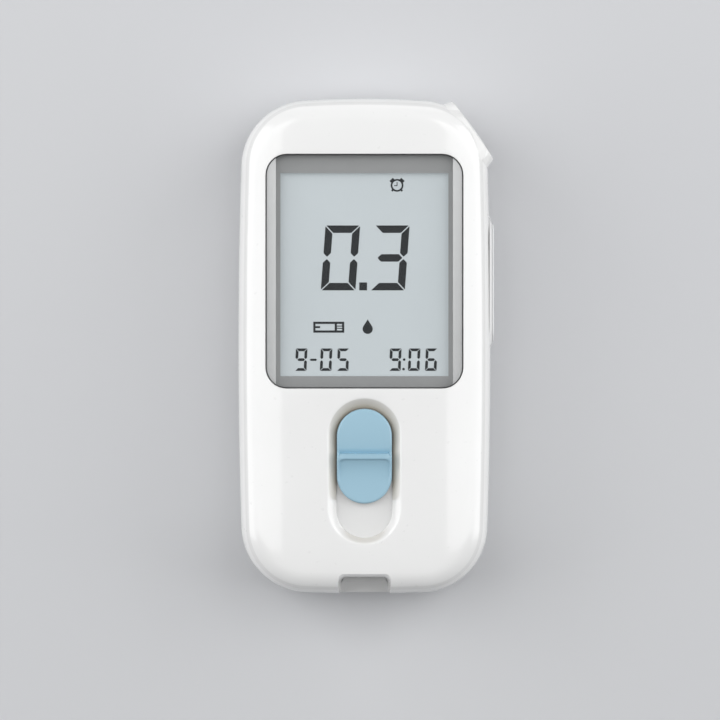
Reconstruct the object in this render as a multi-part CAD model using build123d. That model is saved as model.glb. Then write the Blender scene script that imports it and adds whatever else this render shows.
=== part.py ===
from build123d import *
import os
from math import atan2, cos, degrees, hypot, pi, radians, sin, sqrt

# A hand-held ketone meter lying on its back, in millimetres.
# X runs to the right across the display, Y towards its top end, Z out of the display.
# The origin is the middle of the back, on the surface that the meter lies on.

# Case, taken over the outside
half_width = 25.5
half_length = 50.0
case_height = 20.5
corner_radius = 13.5
side_bow_radius = 1137.0
top_bow_radius = 183.0
bottom_bow_radius = 366.0
front_edge_radius = 5.0
rear_edge_radius = 4.5
wall = 2.0
rear_wall = 1.8
parting_height = 11.0
lip_height = 1.2
lip_thickness = 0.9

# Clearances, and how far a cutter reaches beyond what it cuts
slack = 0.1
running_gap = 0.15
pin_gap = 0.05
overcut = 1.0

# Display window and glass
window_side_margin = 5.57
window_top_margin = 11.385
window_track_margin = 4.065
window_corner = 4.3
window_rim_bevel = 0.25
view_side_margin = 2.99
view_margin = 3.14
view_drop = 0.64
lens_gap = 0.18
lens_sink = 0.15
lens_bevel_width = 1.9
lens_bevel_drop = 0.3
ledge_width = 2.1
ledge_thickness = 1.0
ledge_depth = 2.1
border_thickness = 0.15
glass_side_margin = 0.93
front_glass_margin = 4.45
rear_glass_margin = -0.55
glass_thickness = 0.9
film_thickness = 0.1
carrier_wall = 1.2
carrier_corner = 1.0
carrier_shelf_side = 2.0
carrier_shelf_end = 3.0
zebra_side = 1.0
zebra_shy = 0.9

# Ejector slider in its track
slider_width = 11.06
slider_length = 19.1
slider_end_margin = 27.77
slider_end_height = 1.75
crest_height = 2.9
crest_width = 1.14
slider_edge_radius = 0.4
scoop_rim = 0.6
scoop_corner = 0.9
scoop_low_dip = 1.35
scoop_high_dip = 1.95
scoop_dip_share = 0.42
eject_travel = 6.8
track_depth = 2.1
track_wall_height = 0.35
track_floor_thickness = 1.2
track_flank_angle = 45.0
track_rim_bevel = 0.9
neck_width = 4.0
neck_length = 5.0
neck_offset = 1.55
neck_room = 0.2
barb_height = 0.6
barb_reach = 0.4
carriage_thickness = 1.1
carriage_half_width = 7.0
carriage_tongue = 3.4
carriage_shoulder = 2.8
carriage_arm = 1.2
carriage_foot = 4.4
carriage_head = 0.4
carriage_rail = 1.0
prong_inner = 2.25
prong_outer = 3.35
prong_thickness = 1.2

# Strip port in the bottom end
notch_half_width = 4.4
notch_flare = 0.4
notch_rim_half_width = 5.35
notch_inner = 3.15
notch_corner = 1.2
notch_wall = 2.2
strip_half_width = 3.4
strip_slot_height = 0.8
strip_plane = 12.2
guide_slope_drop = 1.0
guide_nose = 1.4
guide_seat_half = 4.0
guide_height = 4.6

# Power key on the cut top right corner
key_angle = 35.4
pad_cut = 0.55
pad_length = 14.5
pad_width = 14.4
pad_corner = 4.0
pad_draft = 18.0
pad_depth = 3.2
pad_edge_radius = 0.5
pad_block_end = 0.3
pad_block_side = 0.8
key_length = 10.4
key_width = 7.0
key_dome = 0.3
key_travel = 0.5
key_flange = 0.9
key_flange_thickness = 0.8

# Scroll rocker on the right side
rocker_end_margin = 37.3
rocker_length = 23.9
rocker_width = 5.2
rocker_proud = 0.4
rocker_thickness = 3.1
rocker_bevel = 0.35
collar_proud = 0.32
collar_length = 25.1
collar_width = 9.0
collar_flare = 68.0
collar_root = 0.544
lug_reach = 1.35
lug_half = 1.6
pin_radius = 0.75
pin_length = 9.0
pin_boss_half = 2.0
pin_boss_reach = 1.5
pivot_depth = 0.85

# Battery bay and its sliding door
cell_radius = 5.25
cell_body_length = 43.7
nub_radius = 1.9
nub_length = 0.8
cell_bevel = 0.35
cell_pitch = 10.8
bay_half_width = 11.0
bay_wall = 1.2
bay_ceiling = 0.8
bay_end_margin = 5.0
spring_room = 3.8
plate_thickness = 0.4
plate_reach = 3.9
plate_foot = 3.8
tab_width = 1.8
contact_bump = 0.3
bump_root_radius = 1.6
bump_top_radius = 1.1
door_thickness = 1.6
door_half_width = 12.0
door_overlap = 1.9
door_lip_height = 5.5
tongue_reach = 0.8
tongue_thickness = 0.7
tongue_end_margin = 6.0
latch_half_width = 1.9
latch_length = 3.1
latch_thickness = 0.8
latch_root = 0.6
latch_web = 0.3
latch_zone = 5.0
rail_reach = 2.0
rail_height = 1.0
grip_count = 5
grip_inset = 4.6
grip_reach = 4.5
grip_width = 0.8
grip_depth = 0.35

# Springs
battery_spring_radius = 3.0
battery_spring_tip_radius = 2.3
battery_wire = 0.55
battery_spring_turns = 3
eject_spring_radius = 0.75
eject_wire = 0.3
eject_spring_turns = 5
eject_spring_x = 5.0
eject_seat = 1.0
eject_seat_side = 0.3
eject_seat_drop = 0.5

# Circuit board and what is soldered to it
board_gap = 0.2
board_thickness = 1.0
board_inset = 2.9
board_end_margin = 5.6
socket_half_width = 5.2
socket_length = 11.2
socket_height = 3.1
socket_back = 1.0
socket_roof = 0.5
prong_room = 0.25
blade_bed_start = 1.2
blade_bed_end = 2.2
blade_groove = 3.0
blade_groove_depth = 0.3
contact_count = 5
contact_pitch = 0.8
contact_width = 0.4
contact_strip = 0.2
contact_drop = 1.5
blade_lift = 0.02
blade_root = 4.0
blade_crest = 6.0
blade_tip = 8.2
blade_tip_lift = 0.45
blade_bend = 0.08
switch_width = 6.0
switch_depth = 3.5
switch_height = 3.4
plunger_length = 0.75
plunger_width = 2.4
plunger_height = 1.2
plunger_axis = -2.1
scroll_switch_spacing = 16.0
buzzer_radius = 6.0
buzzer_height = 2.5
buzzer_side_margin = 13.5
buzzer_end_margin = 24.0
buzzer_mouth_radius = 0.9
buzzer_mouth_depth = 0.8
sound_slot_length = 5.0
sound_slot_width = 0.9
sound_slot_pitch = 2.2
chip_height = 0.9
chip_end_margin = 20.0
processor_side_margin = 11.5
processor_side = 7.0
memory_side_margin = 11.5
memory_width = 5.0
memory_length = 4.0
crystal_side_margin = 12.0
crystal_end_margin = 28.0
crystal_width = 3.2
crystal_length = 1.5
crystal_height = 0.8

# Screws
screw_radius = 0.8
screw_head_radius = 1.7
screw_head_height = 1.3
screw_seat = 8.0
screw_reach = 3.3
screw_recess_radius = 2.0
screw_room = 0.2
screw_tip_room = 0.4
cross_half = 0.2
cross_reach = 0.9
cross_depth = 0.7
tower_radius = 3.0
boss_radius = 2.2
upper_screw_side_margin = 6.0
upper_screw_end_margin = 35.5
lower_screw_inset = 4.7
lower_screw_rise = 0.5

# Snap hooks at the top end
hook_x = 8.0
hook_width = 4.0
hook_thickness = 1.0
hook_drop = 2.0
hook_nub = 0.5

# Places across the width, each kept at its margin from the side
window_width = 2 * (half_width - window_side_margin)
view_width = window_width - 2 * view_side_margin
glass_width = window_width - 2 * glass_side_margin
upper_screw_x = half_width - upper_screw_side_margin
processor_x = half_width - processor_side_margin
memory_x = memory_side_margin - half_width
crystal_x = crystal_side_margin - half_width
buzzer_x = buzzer_side_margin - half_width

# Places along the length, each kept at its margin from the nearer end
slider_y = slider_end_margin - half_length
window_low_y = slider_y + slider_length / 2 + window_track_margin
window_high_y = half_length - window_top_margin
window_length = window_high_y - window_low_y
window_y = (window_low_y + window_high_y) / 2
view_length = window_length - 2 * view_margin
view_y = window_y - view_drop
front_glass_length = view_length + front_glass_margin
rear_glass_length = view_length + rear_glass_margin
rocker_y = half_length - rocker_end_margin
bay_high_y = half_length - bay_end_margin
bay_length = 2 * plate_thickness + contact_bump + slack + cell_body_length + nub_length + spring_room
bay_low_y = bay_high_y - bay_length
door_low_y = bay_low_y - door_overlap
tongue_end_y = half_length - tongue_end_margin
board_end = half_length - board_end_margin
buzzer_y = buzzer_end_margin - half_length
upper_screw_y = upper_screw_end_margin - half_length
chip_y = chip_end_margin - half_length
crystal_y = crystal_end_margin - half_length

# Heights worked out from the sizes above, from the back to the front
cell_axis = door_thickness + 3 * slack + cell_radius
ceiling_under = cell_axis + cell_radius + slack
board_under = ceiling_under + bay_ceiling + board_gap
board_top = board_under + board_thickness
ledge_top = case_height - ledge_depth
ledge_under = ledge_top - ledge_thickness
front_glass_under = ledge_under - slack - film_thickness - glass_thickness
rear_glass_under = front_glass_under - glass_thickness
lens_under = ledge_top + border_thickness
track_floor = case_height - track_depth
track_floor_under = track_floor - track_floor_thickness
carriage_top = track_floor_under - slack
carriage_under = carriage_top - carriage_thickness
slider_under = track_floor + slack
bay_middle_y = (bay_low_y + bay_high_y) / 2
notch_block_half = notch_rim_half_width + wall
rocker_face = half_width + collar_proud + rocker_proud
rocker_back = rocker_face - rocker_thickness
pivot_x = rocker_back - pivot_depth
notch_edge = -half_length + notch_inner
notch_back = notch_edge + notch_wall
carriage_end = slider_y - slider_length / 2 - carriage_foot
guide_base = parting_height - guide_height + slack
carriage_high = slider_y + neck_offset + neck_length / 2 + eject_travel + carriage_head
spring_seat_y = slider_y - carriage_shoulder + slack + eject_seat
prong_face = carriage_end + prong_thickness
big = 200.0


def block(x0, x1, y0, y1, z0, z1):
    """A box between two corners."""
    size = Box(x1 - x0, y1 - y0, z1 - z0)
    return Pos((x0 + x1) / 2, (y0 + y1) / 2, (z0 + z1) / 2) * size


def post(x, y, z0, z1, radius):
    """An upright cylinder."""
    return Pos(x, y, (z0 + z1) / 2) * Cylinder(radius, z1 - z0)


def plate(sketch, z0, z1):
    """A flat sketch raised between two heights."""
    return extrude(Pos(0, 0, z0) * sketch, z1 - z0)


def outline(inset=0.0):
    """The case in plan: four bowed edges joined by round corners, drawn in by inset."""
    side = Circle(side_bow_radius - inset)
    face = Pos(half_width - side_bow_radius, 0) * side
    face &= Pos(side_bow_radius - half_width, 0) * side
    face &= Pos(0, half_length - top_bow_radius) * Circle(top_bow_radius - inset)
    face &= Pos(0, bottom_bow_radius - half_length) * Circle(bottom_bow_radius - inset)
    return fillet(face.vertices(), corner_radius - inset)


def corner_centre(end_bow_radius):
    """Centre of the round corner between the right side and the end with that bow."""
    reach = end_bow_radius - corner_radius
    side_x = half_width - side_bow_radius
    end_y = half_length - end_bow_radius
    span = hypot(side_x, end_y)
    side_reach = side_bow_radius - corner_radius
    along = (side_reach**2 - reach**2 + span**2) / (2 * span)
    across = sqrt(side_reach**2 - along**2)
    step_x, step_y = -side_x / span, end_y / span
    return side_x + along * step_x - across * step_y, along * step_y + across * step_x


def case_form():
    """The whole case over the outside, its front and rear edges rounded."""
    form = plate(outline(), 0, case_height)
    form = fillet(form.faces().sort_by(Axis.Z)[-1].edges(), front_edge_radius)
    return fillet(form.faces().sort_by(Axis.Z)[0].edges(), rear_edge_radius)


def hollow_form(side, rear, front):
    """The room inside walls of those thicknesses. Its edges are bevelled, so that the
    wall stays full where the case is rounded outside."""
    form = plate(outline(side), rear, case_height - front)
    front_bevel = (2 - sqrt(2)) * (front_edge_radius - front)
    rear_bevel = (2 - sqrt(2)) * (rear_edge_radius - rear)
    form = chamfer(form.faces().sort_by(Axis.Z)[-1].edges(), front_bevel)
    return chamfer(form.faces().sort_by(Axis.Z)[0].edges(), rear_bevel)


def stadium(length, width):
    """A slot shape standing along Y."""
    return Rot(0, 0, 90) * SlotOverall(length, width)


# Places on the corner and the sides
top_corner = corner_centre(top_bow_radius)
key_normal = (cos(radians(key_angle)), sin(radians(key_angle)))
pad_reach = corner_radius - pad_cut
pad_centre = (
    top_corner[0] + pad_reach * key_normal[0],
    top_corner[1] + pad_reach * key_normal[1],
)
pad_plane = Plane(
    origin=(pad_centre[0], pad_centre[1], parting_height),
    x_dir=(key_normal[1], -key_normal[0], 0),
    z_dir=(key_normal[0], key_normal[1], 0),
)
collar_plane = Plane(
    origin=(half_width + collar_proud, rocker_y, parting_height), x_dir=(0, 1, 0), z_dir=(1, 0, 0)
)
bottom_corner = corner_centre(bottom_bow_radius)
lower_screw_x = bottom_corner[0] + lower_screw_inset
lower_screw_y = -bottom_corner[1] - lower_screw_inset + lower_screw_rise
screw_places = [
    (side * x, y)
    for side in (-1, 1)
    for x, y in ((upper_screw_x, upper_screw_y), (lower_screw_x, lower_screw_y))
]

outer_form = case_form()
inner_form = hollow_form(wall, rear_wall, wall)


def collared_form():
    """The outer form with the cut corner, its raised pad and the rocker's collar."""
    form = outer_form - pad_plane * Pos(0, 0, big / 2) * Box(big, big, big)
    pad = extrude(RectangleRounded(pad_length, pad_width, pad_corner), -pad_depth, taper=-pad_draft)
    pad = fillet(pad.faces().sort_by(Axis.Z)[-1].edges(), pad_edge_radius)
    form += pad_plane * pad
    collar = extrude(
        RectangleRounded(collar_length, collar_width, collar_width / 2 - slack / 2),
        -collar_root,
        taper=-collar_flare,
    )
    form += collar_plane * collar
    return form


def key_opening(length, width, gap, z0, z1):
    """The hole that a side key passes through, along its plane's normal."""
    return Pos(0, 0, z0) * extrude(SlotOverall(length + 2 * gap, width + 2 * gap), z1 - z0)


def shell_openings():
    """The power key's and the rocker's holes through both halves of the case."""
    deep = -pad_depth - overcut
    power = pad_plane * key_opening(key_length, key_width, running_gap, deep, overcut)
    deep = -wall - 2 * overcut
    rocker = collar_plane * key_opening(rocker_length, rocker_width, running_gap, deep, overcut)
    return power + rocker


def lip(grow):
    """The tongue round the rear half that locates the front half, grown by a clearance."""
    rise = lip_height + grow
    ring = plate(outline(wall - lip_thickness - grow), parting_height, parting_height + rise)
    ring -= plate(outline(wall), parting_height - overcut, parting_height + rise + overcut)
    gap = notch_block_half - grow
    return ring - block(-gap, gap, -half_length - overcut, notch_back, 0, case_height)


def pad_block():
    """Solid material behind the power key's pad, where its flange seats."""
    length, width = pad_length - 2 * pad_block_end, pad_width - 2 * pad_block_side
    corner = pad_corner - pad_block_side
    return pad_plane * extrude(RectangleRounded(length, width, corner), -pad_depth)


def slider_profile(low):
    """Side view of the slider's rims, rising from each end to a flat crest."""
    half, crest = slider_length / 2, crest_width / 2
    end, top = slider_under + slider_end_height, slider_under + crest_height
    points = [(-half, low), (half, low), (half, end), (crest, top), (-crest, top), (-half, end)]
    return make_face(Polyline(*points, points[0]))


def scoop(side, dip, rim, corner):
    """A thumb hollow beside the crest, as a cutter. side is 1 above the crest, -1 below."""
    half, near = slider_length / 2, crest_width / 2
    end, top = slider_under + slider_end_height, slider_under + crest_height
    start, finish, roof = (side * near, top), (side * half, end), top + overcut
    arc = ThreePointArc(start, (side * half * scoop_dip_share, slider_under + dip), finish)
    over = Polyline(finish, (side * half, roof), (side * near, roof), start)
    hollow = extrude(Plane.YZ * make_face(arc + over), slider_width, both=True)
    reach = half - near + 2 * corner
    plan = RectangleRounded(slider_width - 2 * rim, 2 * reach, corner)
    return hollow & plate(Pos(0, side * (near + reach)) * plan, slider_under, roof + overcut)


def eject_slider():
    """The thumb slider: a long plate with a crest across it, on a neck that snaps inside."""
    body = plate(stadium(slider_length, slider_width), slider_under, slider_under + crest_height + overcut)
    body &= extrude(Plane.YZ * slider_profile(slider_under), slider_width, both=True)
    tops = body.faces().filter_by(lambda face: face.normal_at().Z > 0.5)
    edges = [edge for face in tops for edge in face.edges()]
    crest_lines = [edge for edge in edges if edge.geom_type == GeomType.LINE and abs((edge % 0.5).X) > 0.5]
    body = fillet([edge for edge in edges if edge not in crest_lines], slider_edge_radius)
    body -= scoop(1, scoop_high_dip, -overcut, scoop_corner)
    body -= scoop(-1, scoop_low_dip, scoop_rim, scoop_corner)
    foot = carriage_under - barb_height
    neck = neck_block(neck_width / 2, foot, slider_under)
    barbs = neck_block(neck_width / 2 + barb_reach, foot, carriage_under - slack / 2)
    return Pos(0, slider_y, 0) * body + neck + barbs


def neck_block(half, z0, z1):
    """A stretch of the slider's neck, half as wide as given."""
    middle, reach = slider_y + neck_offset, neck_length / 2
    return block(-half, half, middle - reach, middle + reach, z0, z1)


def eject_carriage():
    """The plate under the track floor, with two prongs that push the used strip out."""
    shoulder = slider_y - carriage_shoulder
    half = carriage_half_width
    body = block(-carriage_tongue, carriage_tongue, shoulder, carriage_high, carriage_under, carriage_top)
    body += block(-half, half, carriage_end, shoulder, carriage_under, carriage_top)
    arm_y = carriage_high - carriage_arm
    body += block(0, half, arm_y, carriage_high, carriage_under, carriage_top)
    hole_y, reach = slider_y + neck_offset, neck_length / 2 + slack / 2
    hole_x = neck_width / 2 + slack / 2
    low, high = carriage_under - overcut, carriage_top + overcut
    body -= block(-hole_x, hole_x, hole_y - reach, hole_y + reach, low, high)
    for side in (-1, 1):
        inner, outer = sorted((side * prong_inner, side * prong_outer))
        body += block(inner, outer, carriage_end, prong_face, strip_plane - slack, carriage_top)
    return body


def track_cuts():
    """The slider's recess with sloping flanks, and the slot for its neck."""
    length = slider_length + eject_travel + 2 * slack
    middle = slider_y - eject_travel / 2
    outline_shape = Pos(0, middle) * stadium(length, slider_width + 2 * slack)
    pocket = plate(outline_shape, track_floor, case_height + overcut)
    foot = track_floor + track_wall_height
    rise = case_height + overcut - foot
    flank = extrude(Pos(0, 0, foot) * outline_shape, rise, taper=-track_flank_angle)
    slot_half = neck_width / 2 + neck_room
    slot_high = slider_y + neck_offset + neck_length / 2 + neck_room
    slot_low = slot_high - neck_length - eject_travel - 2 * neck_room
    low, high = track_floor_under - overcut, track_floor + overcut
    slot = block(-slot_half, slot_half, slot_low, slot_high, low, high)
    return pocket + flank + slot


def notch_plan(half, inner):
    """The notch in plan: its sides part towards the end. Its inner corners are sharp."""
    y0, y1 = -half_length - 2 * overcut, -half_length + inner
    outer = half + notch_flare * (y1 - y0) / inner
    return make_face(Polyline((-outer, y0), (outer, y0), (half, y1), (-half, y1), (-outer, y0)))


def notch_form(half, inner, z0, z1, draft=0.0):
    """The notch between two heights, with round inner corners. It may widen upwards."""
    form = extrude(Pos(0, 0, z0) * notch_plan(half, inner), z1 - z0, taper=-draft)
    uprights = form.edges().filter_by(lambda edge: abs((edge % 0.5).Z) > 0.5)
    return fillet(uprights.sort_by(lambda edge: (edge @ 0.5).Y)[-2:], notch_corner)


def notch_cuts():
    """The thumb notch, the strip's mouth in its inner wall, and the guide's room below."""
    half = notch_half_width
    draft = degrees(atan2(notch_rim_half_width - half, case_height - parting_height))
    cut = notch_form(half, notch_inner, parting_height, case_height, draft)
    cut += notch_form(half, notch_inner, 0, parting_height)
    far = notch_back + overcut
    cut += block(-half, half, -half_length, far, 0, strip_plane + slack)
    mouth, top = strip_half_width + slack, strip_plane + strip_slot_height
    return cut + block(-mouth, mouth, -half_length, far, 0, top)


def spring_seat():
    """The block under the track floor that the return spring pushes against."""
    half, low = eject_spring_radius + eject_seat_side, carriage_under - eject_seat_drop
    x0, x1 = eject_spring_x - half, eject_spring_x + half
    return block(x0, x1, spring_seat_y - eject_seat, spring_seat_y, low, track_floor)


def front_inside():
    """What stands inside the front half before its openings are cut."""
    ledge = RectangleRounded(window_width + 2 * wall, window_length + 2 * wall, window_corner + wall)
    inside = plate(Pos(0, window_y) * ledge, ledge_under, ledge_top + overcut)
    bed = stadium(slider_length + eject_travel + 3 * wall, slider_width + 3 * wall)
    inside += plate(Pos(0, slider_y - eject_travel / 2) * bed, track_floor_under, track_floor + overcut)
    low, high = carriage_end - eject_travel, slider_y + slider_length / 2
    for side in (-1, 1):
        near = carriage_half_width + 2 * slack
        inner, outer = sorted((side * near, side * (near + carriage_rail)))
        inside += block(inner, outer, low, high, carriage_under, track_floor)
    half = notch_block_half
    inside += block(-half, half, -half_length, notch_back, parting_height, case_height)
    for x, y in screw_places:
        inside += post(x, y, board_top, case_height, boss_radius)
    inside += pin_boss(parting_height + rocker_width / 2 + 4 * slack, ledge_under)
    return inside + spring_seat()


def edges_between(shape, x, y0, y1, z0):
    """The edges that lie within x of the middle, between two places along Y and above z0."""
    found = []
    for edge in shape.edges():
        box = edge.bounding_box()
        inside = -x < box.min.X and box.max.X < x and y0 < box.min.Y and box.max.Y < y1
        if inside and box.min.Z > z0:
            found.append(edge)
    return found


def front_shell():
    """Front half of the case: window frame, slider track, strip notch, bosses and hooks."""
    form = collared_form()
    shell = form - inner_form + (front_inside() & outer_form) + (pad_block() & form)
    shell = split(shell, Plane.XY.offset(parting_height), keep=Keep.TOP)
    shell -= lip(slack)
    window = rounded(window_width, window_length, window_y, window_corner)
    shell -= plate(window, ledge_top, case_height + overcut)
    view = Rectangle(window_width - 2 * ledge_width, view_length + ledge_width / 2)
    shell -= plate(Pos(0, view_y) * view, ledge_under - overcut, case_height)
    shell -= track_cuts()
    shell -= notch_cuts()
    shell -= shell_openings()
    pin_top = parting_height + pin_length / 2
    shell -= post(pivot_x, rocker_y, parting_height, pin_top + slack, pin_radius + pin_gap)
    for x, y in screw_places:
        tip = board_top + screw_reach + screw_tip_room
        shell -= post(x, y, board_top - overcut, tip, screw_radius + pin_gap)
    reach = slider_length / 2 + case_height - track_floor + overcut
    low, high = slider_y - eject_travel - reach, slider_y + reach
    rim_height = track_floor + 2 * track_wall_height
    shell = chamfer(edges_between(shell, slider_width, low, high, rim_height), track_rim_bevel)
    reach = (window_length + overcut) / 2
    low, high = window_y - reach, window_y + reach
    rim_height = case_height - ledge_depth / 2
    shell = chamfer(edges_between(shell, half_width, low, high, rim_height), window_rim_bevel)
    for side in (-1, 1):
        shell += snap_hook(side)
    return shell


def hook_face():
    """Y of the inner side of the top wall where the hooks stand, less their clearance."""
    corner_x = hook_x + hook_width / 2
    return half_length - top_bow_radius + sqrt((top_bow_radius - wall) ** 2 - corner_x**2) - slack


def snap_hook(side):
    """A catch on the front half that snaps behind the rear half's top wall."""
    y, low = hook_face(), parting_height - hook_drop
    x0, x1 = side * hook_x - hook_width / 2, side * hook_x + hook_width / 2
    arm = block(x0, x1, y - hook_thickness, y, low, case_height) & inner_form
    foot = parting_height + lip_height + 2 * slack
    lug = block(x0, x1, y - hook_thickness, y + wall, foot, case_height) & outer_form
    return arm + lug + block(x0, x1, y - slack, y + hook_nub, low, low + hook_thickness)


def pin_boss(z0, z1):
    """A block on the right wall that holds one end of the rocker's pin."""
    half = pin_boss_half
    far = half_width - wall / 2
    return block(pivot_x - pin_boss_reach, far, rocker_y - half, rocker_y + half, z0, z1)


def rear_inside():
    """What stands inside the rear half before its openings are cut."""
    outer = bay_half_width + bay_wall
    low, high = bay_low_y - bay_wall, bay_high_y + bay_wall
    inside = block(-outer, outer, low, high, 0, parting_height)
    rails = door_half_width + tongue_reach + rail_reach
    rail_low = door_low_y - bay_wall
    inside += block(-rails, rails, rail_low, half_length, 0, door_thickness + running_gap + rail_height)
    inside += block(-rails, rails, bay_high_y, half_length, 0, door_lip_height + bay_wall)
    for x, y in screw_places:
        inside += post(x, y, 0, parting_height, tower_radius)
    pin_foot = parting_height - pin_length / 2
    inside += pin_boss(pin_foot - bay_wall, parting_height - rocker_width / 2 - 4 * slack)
    return inside + block(-guide_seat_half, guide_seat_half, -half_length, notch_back, 0, guide_base)


def rear_shell():
    """Rear half of the case: battery bay, door rails, screw towers and the strip guide's seat."""
    form = collared_form()
    shell = form - inner_form + (rear_inside() & outer_form) + (pad_block() & form)
    shell = split(shell, Plane.XY.offset(parting_height), keep=Keep.BOTTOM)
    outer = bay_half_width + bay_wall
    low, high = bay_low_y - bay_wall, bay_high_y + bay_wall
    shell += block(-outer, outer, low, high, parting_height - overcut, ceiling_under + bay_ceiling)
    for x, y in screw_places:
        shell += post(x, y, parting_height - overcut, board_under, tower_radius)
    shell += lip(0)
    inner, floor = bay_half_width, door_thickness + running_gap
    shell -= block(-inner, inner, bay_low_y, bay_high_y, floor, ceiling_under)
    shell -= door_form(running_gap)
    shell -= shell_openings() + switch_room()
    nose = parting_height - guide_nose - slack
    shell -= notch_form(notch_half_width, notch_inner, nose, case_height)
    pin_foot = parting_height - pin_length / 2
    shell -= post(pivot_x, rocker_y, pin_foot - slack, parting_height, pin_radius + pin_gap)
    for x, y in screw_places:
        shell -= post(x, y, -overcut, screw_seat, screw_recess_radius)
        shell -= post(x, y, 0, board_under + overcut, screw_radius + screw_room)
    for side in (-1, 1):
        shell -= tab_slot(side * cell_pitch / 2)
        shell -= hook_room(side)
    slot = SlotOverall(sound_slot_length, sound_slot_width)
    for step in (-1, 0, 1):
        place = Pos(buzzer_x, buzzer_y + step * sound_slot_pitch)
        shell -= plate(place * slot, -overcut, rear_wall + overcut)
    return shell


def hook_room(side):
    """The recess behind the rear half's top wall that a hook snaps into."""
    y, low = hook_face(), parting_height - hook_drop
    reach = hook_width / 2 + 2 * slack
    x0, x1 = side * hook_x - reach, side * hook_x + reach
    top = low + hook_thickness + slack
    return block(x0, x1, y - overcut, y + hook_nub + slack, low - slack, top)


def tab_slot(x):
    """The gap in the bay's ceiling where a contact's tab rises to the board."""
    half, high = tab_width / 2 + 3 * slack, bay_low_y + 2 * plate_thickness
    low, top = ceiling_under - overcut, board_under + overcut
    return block(x - half, x + half, bay_low_y, high, low, top)


def door_form(gap):
    """The battery door's space: panel, end lip, side tongues and latch, grown by gap."""
    half = door_half_width + gap
    thickness = door_thickness + gap
    body = block(-half, half, door_low_y - gap, half_length + overcut, -overcut, door_lip_height + gap)
    body -= hollow_form(thickness, thickness, thickness)
    reach = half + tongue_reach
    low = door_thickness - tongue_thickness - gap
    far = tongue_end_y if gap == 0 else half_length + overcut
    body += block(-reach, reach, door_low_y - gap, far, low, thickness)
    side = latch_half_width + gap
    foot = rear_wall + slack - (gap if gap else 0)
    under = min(foot, thickness)
    top = rear_wall + slack + latch_thickness + gap
    end = door_low_y + latch_root + (0 if gap == 0 else big / 2)
    body += block(-side, side, door_low_y - latch_length - gap, end, foot, top)
    body += block(-side, side, door_low_y - gap, end, under - latch_web, foot + slack)
    return body


def battery_door():
    """The sliding door over the cells, which wraps round the top end of the case."""
    zone = latch_zone
    door = door_form(0) & (outer_form + block(-zone, zone, door_low_y - zone, 0, 0, zone))
    for step in range(grip_count):
        y = door_low_y + grip_inset + 2 * grip_width * step
        door -= block(-grip_reach, grip_reach, y, y + grip_width, -overcut, grip_depth)
    return door


def rounded(width, length, y, corner):
    """A round-cornered rectangle centred on the Y axis."""
    return Pos(0, y) * RectangleRounded(width, length, corner)


def display_lens():
    """The clear window with bevelled long edges."""
    width, length = window_width - 2 * lens_gap, window_length - 2 * lens_gap
    top = case_height - lens_sink
    lens = plate(rounded(width, length, window_y, window_corner - lens_gap), lens_under, top)
    for side in (-1, 1):
        inner = side * (width / 2 - lens_bevel_width)
        outer = side * (width / 2 + lens_bevel_width)
        cutter = make_face(
            Polyline((inner, top), (outer, top - 2 * lens_bevel_drop), (outer, top + overcut), (inner, top))
        )
        lens -= extrude(Plane.XZ * cutter, big / 2, both=True)
    return lens


def lens_border():
    """The printed frame behind the lens, which also glues it to its ledge."""
    width, length = window_width - 2 * lens_gap, window_length - 2 * lens_gap
    frame = rounded(width, length, window_y, window_corner - lens_gap)
    frame -= Pos(0, view_y) * Rectangle(view_width, view_length)
    return plate(frame, ledge_top, lens_under)


def lcd_layer(length, z0, thickness):
    """One rectangular layer of the display."""
    return plate(Pos(0, view_y) * Rectangle(glass_width, length), z0, z0 + thickness)


def lcd_carrier():
    """The frame on the board that holds the display's glass and its contact strips."""
    width = glass_width + 2 * carrier_wall
    length = front_glass_length + 2 * carrier_wall
    frame = plate(rounded(width, length, view_y, carrier_corner), board_top, ledge_under)
    glass_x, glass_y = glass_width + 2 * slack, front_glass_length + 2 * slack
    frame -= plate(Pos(0, view_y) * Rectangle(glass_x, glass_y), front_glass_under, case_height)
    rear_y = rear_glass_length + 2 * slack
    frame -= plate(Pos(0, view_y) * Rectangle(glass_x, rear_y), rear_glass_under - slack, case_height)
    light_x, light_y = glass_width - 2 * carrier_shelf_side, rear_y - 2 * carrier_shelf_end
    frame -= plate(Pos(0, view_y) * Rectangle(light_x, light_y), 0, case_height)
    slot_x, slot_y = glass_width - 2 * zebra_side + 2 * slack, zebra_width() + 2 * slack
    for y in zebra_rows():
        frame -= plate(Pos(0, y) * Rectangle(slot_x, slot_y), 0, case_height)
    return frame


def zebra_width():
    """Width of a contact strip, which stands under the front glass's overhang."""
    return (front_glass_length - rear_glass_length) / 2 - zebra_shy


def zebra_rows():
    """Y of the two rubber contact strips."""
    reach = (front_glass_length + rear_glass_length) / 4
    return view_y - reach, view_y + reach


def zebra_strips():
    """Two rubber strips that carry the display's signals up from the board."""
    strip = Rectangle(glass_width - 2 * zebra_side, zebra_width())
    return [plate(Pos(0, y) * strip, board_top, front_glass_under) for y in zebra_rows()]


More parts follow.
